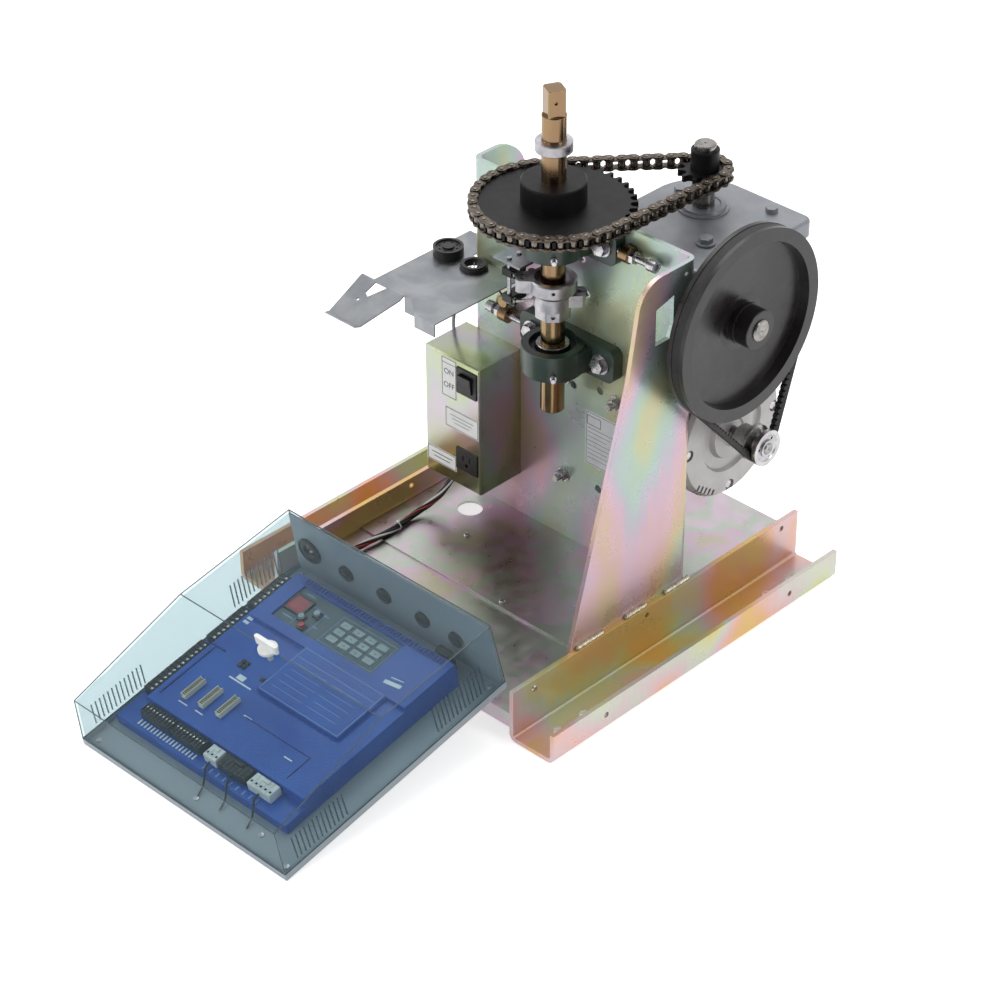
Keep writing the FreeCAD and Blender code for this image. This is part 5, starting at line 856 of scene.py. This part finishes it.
def make_chain():
    """Inner links with their rollers, and outer plates with pin heads, in turn round the loop."""
    plates, rollers = bmesh.new(), bmesh.new()
    pins = chain_pins()
    pin_long, pin_foot = 2 * (HALF_GAP + 2 * PLATE) + 2.0, -HALF_GAP - 2 * PLATE - 1
    for i, pin in enumerate(pins):
        way = pins[(i + 1) % CHAIN_PITCHES] - pin
        place = CHAIN @ spot(pin.x, pin.y, 0, math.degrees(math.atan2(way.y, way.x)))
        inner = i % 2 == 0
        level = HALF_GAP if inner else HALF_GAP + PLATE
        for low in (level, -level - PLATE):
            put(plates, link_plate(INNER_END if inner else OUTER_END), place @ spot(0, 0, low))
        for x in (0, PITCH):
            if inner:
                put(rollers, drum(ROLLER, 2 * HALF_GAP - 0.3, 16, 0.5), place @ spot(x, 0, 0.15 - HALF_GAP))
            else:
                put(rollers, drum(PIN, pin_long, 12, 0.35), place @ spot(x, 0, pin_foot))
    finished("chain_plates", plates, link_steel, instead_of=["roller_chain"], sharp=30.0)
    finished("chain_rollers", rollers, roller_steel, instead_of=["roller_chain"], sharp=30.0)


make_chain()


# Cogged belt: the radii that its outer face runs at, its plane, its section and its notches

BIG_RUN, SMALL_RUN, BELT_PLANE = 129.2, 24.4, 247.5
HALF_TOP, HALF_BOTTOM, SIDE_SLOPE = 6.1, 3.5, 0.325
COGS, COG_DEEP, NOTCH_DEEP = 118, 8.0, 5.2


def make_belt():
    """The V belt, carried round both sheaves station by station, with notches across its inner face."""
    first, second = Vector(LARGE_SHEAVE), Vector(SMALL_SHEAVE)
    line = second - first
    lean = math.acos((BIG_RUN - SMALL_RUN) / line.length)
    base = math.atan2(line.y, line.x)
    straight = math.sqrt(line.length**2 - (BIG_RUN - SMALL_RUN) ** 2)
    small_arc, big_arc = SMALL_RUN * 2 * lean, BIG_RUN * (FULL_TURN - 2 * lean)
    whole = 2 * straight + small_arc + big_arc

    def station(way):
        """The belt's frame at a length along it: across, along and outward."""
        angle = base - lean
        if way < straight:
            share = way / straight
            centre, radius = first.lerp(second, share), BIG_RUN + (SMALL_RUN - BIG_RUN) * share
        elif way < straight + small_arc:
            angle, centre, radius = angle + (way - straight) / SMALL_RUN, second, SMALL_RUN
        elif way < 2 * straight + small_arc:
            share = (way - straight - small_arc) / straight
            angle, centre = base + lean, second.lerp(first, share)
            radius = SMALL_RUN + (BIG_RUN - SMALL_RUN) * share
        else:
            angle, centre, radius = base + lean + (way - 2 * straight - small_arc) / BIG_RUN, first, BIG_RUN
        out = Vector((0, math.cos(angle), math.sin(angle)))
        along = Vector((0, -math.sin(angle), math.cos(angle)))
        turn = Matrix(((1, 0, 0), along, out)).transposed().to_4x4()
        return Matrix.Translation(Vector((BELT_PLANE, *centre)) + out * radius) @ turn

    cog = whole / COGS
    bm = bmesh.new()
    bmesh.ops.create_grid(bm, x_segments=1, y_segments=1, size=1.0)
    moved(bm, UP_IS_FRONT)
    for vertex in bm.verts:
        outer = vertex.co.z > 0
        vertex.co.x = math.copysign(HALF_TOP if outer else HALF_BOTTOM, vertex.co.x)
        vertex.co.y, vertex.co.z = 0, 0 if outer else -COG_DEEP
    moved(bm, station(0.0))
    face, before = bm.faces[:], station(0.0)
    first_face = face[0]
    notch = ((0.6, COG_DEEP), (0.68, NOTCH_DEEP), (0.92, NOTCH_DEEP), (1.0, COG_DEEP))
    for way, deep in [((i + share) * cog, deep) for i in range(COGS) for share, deep in notch]:
        grown = bmesh.ops.extrude_face_region(bm, geom=face)["geom"]
        bmesh.ops.delete(bm, geom=[f for f in face if f is not first_face], context="FACES_ONLY")
        after = station(min(way, whole - 1e-6))
        back = before.inverted()
        for vertex in corners(grown):
            local = back @ vertex.co
            if local.z < -1:
                local.z, local.x = -deep, math.copysign(HALF_TOP - SIDE_SLOPE * deep, local.x)
            local.y = 0.0
            vertex.co = after @ local
        face, before = [item for item in grown if isinstance(item, bmesh.types.BMFace)], after
    bmesh.ops.delete(bm, geom=[first_face] + face, context="FACES_ONLY")
    bmesh.ops.remove_doubles(bm, verts=bm.verts, dist=0.05)
    finished("cogged_belt", bm, belt_black, instead_of=["v_belt"], sharp=30.0)


make_belt()


# Control board: the levels of its ledge, its board, its raised face and the recess of the keys

LEDGE, BOARD, FACE, RECESS = 25.0, 41.0, 47.0, 43.0


def stand(whole, x, y, z, size, soft=0.0, turn=0.0):
    """Add a brick to a whole at a place in the control box."""
    put(whole, brick(*size, soft), in_box(x, y, z, turn))


def span(low, high):
    """A rectangle's two sizes and its middle, from two of its corners."""
    return high[0] - low[0], high[1] - low[1], ((low[0] + high[0]) / 2, (low[1] + high[1]) / 2)


def terminal(black, bright, dark, low, high, poles, upright):
    """A terminal block: a body, ribs between its poles, a screw in each, and flat dark patches of painted
    shade in each screw's well and wire slot.
    """
    wide, long, middle = span(low, high)

    def lay(along, across):
        """Measures along and across the row, as ones across and along the box."""
        return (across, along) if upright else (along, across)

    def at(along, across):
        x, y = lay(along, across)
        return middle[0] + x, middle[1] + y

    stand(black, *middle, LEDGE, (wide, long, 12.0), 0.6)
    run, breadth = (long, wide) if upright else (wide, long)
    pole_run = run / poles
    for pole in range(poles + 1):
        step = -run / 2 + run * pole / poles
        inner = max(min(step, run / 2 - 0.6), 0.6 - run / 2)
        stand(black, *at(inner, 0), LEDGE + 11.5, (*lay(0.9, breadth * 0.86), 2.4), 0.2)
        if pole < poles:
            step += pole_run / 2
            screw = in_box(*at(step, 3 if upright else 2), LEDGE + 12)
            # Painted shade: a flat dark disc round each screw for the shade in its well
            put(dark, drum(pole_run * 0.36, 0.5, 12, 0), screw)
            put(bright, drum(pole_run * 0.26, 0.7, 10, 0.15), screw)
            # Painted shade: a flat dark patch for the shade in each wire slot
            stand(dark, *at(step, -6), LEDGE + 12, (*lay(pole_run * 0.55, 4.0), 0.4))


def make_board_parts():
    """What stands on the blue housing: terminal rows, plugs, headers, ribs, keys' panel and printing."""
    black, bright, dark, white, cream = (bmesh.new() for _ in range(5))
    gold, ink, pale, ribs, panel = (bmesh.new() for _ in range(5))

    for low, high, poles, upright in (
        ((15, 98), (34, 198), 13, True), ((15, 207), (34, 271), 8, True), ((15, 280), (34, 344), 8, True),
        ((44, 66), (98, 84), 9, False), ((101, 66), (155, 84), 9, False),
    ):
        terminal(black, bright, dark, low, high, poles, upright)
    for low, high, whole, pins in (
        ((165, 64), (188, 84), white, 3), ((192, 64), (240, 84), black, 7), ((245, 64), (286, 84), white, 5),
    ):
        wide, long, (x, y) = span(low, high)
        stand(whole, x, y, LEDGE, (wide, long, 13.6), 0.8)
        stand(whole, x, y + 5, LEDGE + 13, (wide * 0.34, 4, 3.0), 0.4)
        for pin in range(pins):
            across = low[0] + wide * (pin + 0.5) / pins
            stand(whole, across + wide / pins / 2 - 0.3, y, LEDGE + 13.5, (0.8, 18, 1.0), 0.15)
            # Painted shade: a flat dark patch for the shade in each plug's wire hole
            stand(dark, across, y - 4, LEDGE + 13.6, (wide / pins * 0.4, 3.0, 0.3))
    header_pitch = 2.72
    for x, y in ((74, 112), (104, 114), (134, 116)):
        stand(cream, x + 4.5, y + 18, BOARD, (9, 36, 4.0), 0.3)
        for side in (0.6, 8.4):
            stand(cream, x + side, y + 18, BOARD, (1.1, 36, 8.0), 0.2)
        for row in range(13):
            stand(cream, x + 4.5, y + 1.6 + header_pitch * row, BOARD, (7.6, 1.0, 6.4), 0.1)
            if row < 12:
                stand(gold, x + 4.5, y + 2.9 + header_pitch * row, BOARD, (5.6, 0.7, 7.4))
    for x, y, rows in ((99, 198, 2), (142, 197, 1)):
        for i in range(2):
            for j in range(rows):
                at = x - 3.6 + 7.2 * i, y - 3.6 + 7.2 * j
                stand(black, *at, BOARD, (5.6, 5.6, 2.2), 0.3)
                # Painted shade: a flat dark disc on each square block for the shade in its opening
                put(dark, drum(1.3, 0.3, 8, 0), in_box(*at, BOARD + 2.2))
    for x, y in ((116, 286), (118, 312), (104, 297)):
        stand(black, x, y, RECESS + 0.2, (11, 11, 4.2), 0.5)
    stand(black, 296, 363, 12, (24, 12, 34), 1.2)
    put(black, frame_lines(33, 29, 2.6, 3.6), in_box(84, 312, RECESS))

    stand(panel, 158, 309, RECESS - 0.1, (182, 60, 0.5), 0.1)
    for x, y, wide, tall in ((111, 300, 30, 44), (196, 307, 98, 50)):
        put(pale, frame_lines(wide, tall, 0.7, 0.2), in_box(x, y, RECESS + 0.4))
    for x, y, wide in ((84, 290, 18), (84, 333, 14), (128, 318, 10), (128, 296, 10)):
        stand(pale, x, y, RECESS + 0.4, (wide, 1.6, 0.2))

    for i in range(42):
        stand(ribs, 64 + 6.0 * i, 346.5, FACE, (2.6, 7.0, 2.2), 0.4)
    stand(ribs, 187, 341.6, FACE - 0.4, (256, 1.2, 1.2), 0.3)
    for low, high in (((44, 102), (44.8, 196)), ((36.8, 200), (60, 200.9))):
        wide, long, middle = span(low, high)
        stand(ribs, *middle, BOARD, (wide + 2, long + 2, 1.4), 0.3)
    stand(ribs, 226, 137, BOARD, (118, 1.4, 0.8), 0.2)
    stand(ribs, 284, 117, BOARD, (1.4, 40, 0.8), 0.2)

    put(pale, frame_lines(142, 84, 0.9, 0.2), in_box(219.5, 220.5, FACE))
    stand(pale, 219.5, 246, FACE, (138, 0.8, 0.2))
    for row in range(5):
        for start, wide in ((158, 56), (222, 52)):
            stand(pale, start + wide / 2, 236 - 11 * row, FACE, (wide - 5 * (row % 2), 0.7, 0.16))
    for x, y, wide, tall in (
        (118, 173, 40, 2.4), (113, 180, 13, 8), (83, 106, 16, 1.6), (112, 107, 14, 1.6), (170, 138, 14, 1.8),
        (262, 120, 14, 1.8),
    ):
        stand(ink, x, y, BOARD, (wide, tall, 0.2))
    for i in range(18):
        stand(ink, 47.5 + 6.0 * i, 60, LEDGE, (2.6, 8.5, 0.2))
    for i in range(9):
        stand(pale, 172 + 12.0 * i, 57, LEDGE, (2.6, 7.5, 0.2))
    for i in range(3):
        stand(ink, 45, 252 + 7.5 * i, BOARD, (9, 4.5, 0.2))
    for y, wide, tall in ((282, 26.0, 6.0), (291, 20.0, 1.4)):
        stand(ink, 285, y, FACE, (wide, tall, 0.25), turn=8.0)

    for name, whole, material in (
        ("terminal_blocks", black, black_plastic), ("terminal_screws", bright, fastener_zinc),
        # This mesh is painted shade: flat dark patches where screw wells, wire slots and holes open
        ("painted_shade_in_openings", dark, printed_black), ("white_plugs", white, white_plastic),
        ("pin_headers", cream, cream_plastic), ("header_pins", gold, hardware_zinc),
        ("board_ribs", ribs, deep_blue), ("key_panel", panel, panel_grey),
        ("board_marks", ink, printed_white), ("board_lines", pale, printed_pale),
    ):
        stands_for = ["board_connectors"] if name == "terminal_blocks" else ()
        finished(name, whole, material, "control_box", stands_for)


make_board_parts()


def words(name, text, size, place, material, body):
    """Printed characters, a tenth of a millimetre thick, on their own place."""
    curve = bpy.data.curves.new(name, "FONT")
    curve.body = text
    curve.size = size
    curve.align_x, curve.align_y = "CENTER", "CENTER"
    curve.extrude = 0.05
    mesh = meshed(linked(name, curve))
    whole = bmesh.new()
    whole.from_mesh(mesh)
    bpy.data.meshes.remove(mesh)
    finished(name, moved(whole, place), material, body)


def make_cover_edges():
    """Opaque dark rods on the cover's edges and vent slits: painted shade for the clear sheet's look along
    its thickness.
    """
    foot, eave, ridge, rear = (0.8, 0.8, 17.5), (4.4, 4.8, 85.4), (6.3, 194, 117.6), (6.2, 385.6, 113.6)
    heel = (0.8, 385.6, 17.5)

    def mirrored(point):
        return BASE_WIDE - point[0], point[1], point[2]

    runs = [(foot, eave), (eave, ridge), (ridge, rear), (heel, rear), (foot, heel)]
    rods = [(mirrored(a), mirrored(b), 0.7) for a, b in runs] + [(a, b, 0.7) for a, b in runs]
    rods += [(a, mirrored(a), thick) for a, thick in ((eave, 0.7), (ridge, 0.8), (rear, 0.9), (foot, 0.6))]
    lines = bmesh.new()
    for a, b, thick in rods:
        start, end = box_point(*a), box_point(*b)
        way = end - start
        place = Matrix.Translation(start) @ way.to_track_quat("Z", "Y").to_matrix().to_4x4()
        put(lines, drum(thick, way.length, 8, 0), place)
    wall_lean, wall_slope, wall_foot = 3.3, 0.0577, 17
    for first, low, high in ((24, 25, 59), (268, 29, 69)):
        inward = 1.2 + wall_slope * (low - wall_foot)
        for slit in range(13):
            for x, side in ((0.0, 1), (BASE_WIDE, -1)):
                place = in_box(x + side * inward, first + 7.0 * slit + 1.1, low)
                put(lines, brick(2.4, 0.7, high - low, 0), place @ spot(0, 0, 0, side * wall_lean, "Y"))
    # The rods are painted shade, not a dark part of the cover
    finished("cover_edges", lines, painted_shade_cover_edge, carried_by("control_cover"))


make_cover_edges()


def make_keys():
    """Plain numbers on the ten number keys, and a dash on the two keys beside the nought."""
    row_step, column_step = 22, 13.5
    for index, label in enumerate("-0-789456123"):
        row, column = divmod(index, 3)
        x, y = 163 + row_step * (3 - row), 320.5 - column_step * (2 - column)
        words("key_%d" % index, label, 5.5, in_box(x, y, RECESS + 2.45, 90.0), printed_black, "control_box")


make_keys()


def make_box_hardware():
    """Screws in the base's corners and under the board, and the rims of the cable entries."""
    screws, rims = bmesh.new(), bmesh.new()
    for x, y in ((14, 14), (362, 14), (14, 372), (362, 372), (190, 22), (300, 30)):
        put(screws, drum(4.2, 1.6, 18, 0.5), in_box(x, y, 10))
        stand(screws, x, y, 11.5, (5.6, 0.9, 0.4), turn=35)
    rear_wall, wall_foot = 378.6, 7
    for x, z, r in ((36, 52, 17.0), (104, 50, 9.5), (174, 50, 9.5), (243, 47, 9.5), (302, 46, 9.5)):
        place = in_box(x, rear_wall, wall_foot + z) @ UP_IS_FRONT
        put(rims, ring(r + 1.6, 0.9, 28, 6), place)
        if r < 12:
            put(rims, drum(r - 1.6, 1.2, 24, 0.5), place)
            put(rims, brick(r * 1.3, 1.6, 2.2, 0.4), place)
    finished("base_screws", screws, fastener_zinc, "control_box")
    finished("entry_rims", rims, black_plastic, "control_box")


make_box_hardware()


# Power box: its front face and the plate's, as the labels lie on them

BOX_FACE, PLATE_FACE, LABEL = -27.7, 51.0, 0.2


def make_labels():
    """Labels: ON and OFF beside the rocker, the others bare but for a thin frame and rules."""
    paper, silver, lines = bmesh.new(), bmesh.new(), bmesh.new()

    def on_face(x, y, z):
        return spot(x, y, z) @ UP_IS_FRONT

    for x, z, wide, tall in ((-137, 271.5, 28, 61), (-114, 210.5, 62, 31), (-152.5, 139, 55, 24)):
        put(paper, brick(wide, tall, LABEL, 0), on_face(x, BOX_FACE, z))
        put(lines, frame_lines(wide - 2, tall - 2, 0.9, 0.1), on_face(x, BOX_FACE - LABEL, z))
    rules = [(-137, 293.5, 24, 0.8)]
    rules += [(-114, 216 - 5.5 * row, 44 - 8 * row, 0.7) for row in range(3)]
    rules += [(-152.5, 142 - 6 * row, 38 - 8 * row, 1.2) for row in range(2)]
    for x, z, wide, tall in rules:
        put(lines, brick(wide, tall, 0.1, 0), on_face(x, BOX_FACE - LABEL, z))
    put(silver, brick(58, 84, LABEL, 0), on_face(65.5, PLATE_FACE, 222))
    for x, z, wide, tall, line in ((65.5, 222, 54, 80, 0.6), (52, 250, 24, 14, 0.8)):
        put(lines, frame_lines(wide, tall, line, 0.1), on_face(x, PLATE_FACE - LABEL, z))
    for row in range(8):
        short = row % 3
        place = on_face(64 - 3 * short, PLATE_FACE - LABEL, 238 - 6.6 * row)
        put(lines, brick(46 - 6 * short, 0.6, 0.1, 0), place)
    finished("box_labels", paper, paper_white, "frame")
    finished("panel_label", silver, paper_silver, "frame")
    finished("label_lines", lines, printed_black, "frame")
    for text, z in (("ON", 280.5), ("OFF", 259.5)):
        place = on_face(-137, BOX_FACE - LABEL - 0.05, z)
        words("switch_" + text.lower(), text, 11.5, place, printed_black, "frame")


make_labels()


# Studio


def make_surround():
    """White for the lens, white that darkens towards the lens's side for reflections, and soft light."""
    world = bpy.data.worlds.new("studio")
    bpy.context.scene.world = world
    tree = blank_tree(world)
    rays = add(tree, "LightPath").outputs
    seen = add(tree, "Math", {0: rays["Is Camera Ray"], 1: rays["Is Transmission Ray"]}, operation="MAXIMUM")
    mirrored = add(tree, "Math", {0: seen, 1: rays["Is Glossy Ray"]}, operation="MAXIMUM")
    soft = add(tree, "Background", {"Color": linear("#F4F6F8"), "Strength": 0.6})
    way, lens_side = add(tree, "TexCoord").outputs["Generated"], (0.57, -0.60, 0.56)
    facing = add(tree, "VectorMath", {0: way, 1: lens_side}, operation="DOT_PRODUCT").outputs["Value"]
    fall = {"From Min": 0.1, "From Max": 0.85, "To Min": 1.0, "To Max": 0.22}
    shade = add(tree, "MapRange", {"Value": facing, **fall})
    lens = add(tree, "Math", {0: seen, 1: shade}, operation="MAXIMUM")
    white = add(tree, "Background", {"Color": (1, 1, 1, 1), "Strength": lens})
    both = add(tree, "MixShader", {0: mirrored, 1: soft, 2: white})
    add(tree, "OutputWorld", {"Surface": both})


def make_floor():
    """A pale floor just under the rails, which the lens sees as nearly white."""
    bm = bmesh.new()
    bmesh.ops.create_grid(bm, x_segments=1, y_segments=1, size=9.0)
    bmesh.ops.translate(bm, verts=bm.verts, vec=(0, 0, -0.0006))
    mesh = bpy.data.meshes.new("floor")
    bm.to_mesh(mesh)
    bm.free()
    material = bpy.data.materials.new("pale studio paper")
    tree = blank_tree(material)
    rays = add(tree, "LightPath").outputs
    seen = add(tree, "Math", {0: rays["Is Camera Ray"], 1: rays["Is Glossy Ray"]}, operation="MAXIMUM")
    seen = add(tree, "Math", {0: seen, 1: rays["Is Transmission Ray"]}, operation="MAXIMUM")
    glow = add(tree, "Math", {0: seen, 1: 0.6}, operation="MULTIPLY")
    paper = add(tree, "BsdfDiffuse", {"Color": linear("#EDEDED")})
    light = add(tree, "Emission", {"Color": (1, 1, 1, 1), "Strength": glow})
    add(tree, "OutputMaterial", {"Surface": add(tree, "AddShader", {0: paper, 1: light})})
    mesh.materials.append(material)
    linked("floor", mesh)


def make_lamps():
    """Four soft boxes, each aimed at the object: place, target, size and power."""
    for name, place, target, width, height, power in (
        ("top box", (-0.6, 0.6, 2.6), (0, 0, 0.2), 2.2, 2.2, 34.0),
        ("left box", (-2.2, -1.6, 1.5), (0, 0, 0.3), 1.2, 1.6, 12.0),
        ("right box", (2.6, 0.6, 1.4), (0, 0, 0.3), 0.9, 1.8, 16.0),
        ("front box", (-0.5, -3.0, 1.3), (0, 0, 0.3), 1.6, 1.2, 26.0),
    ):
        lamp = bpy.data.lights.new(name, "AREA")
        lamp.shape = "RECTANGLE"
        lamp.size, lamp.size_y = width, height
        lamp.energy = power
        holder = linked(name, lamp)
        holder.location = place
        holder.rotation_euler = (Vector(target) - Vector(place)).to_track_quat("-Z", "Y").to_euler()


bpy.context.scene.view_settings.view_transform = "Standard"
make_surround()
make_floor()
make_lamps()
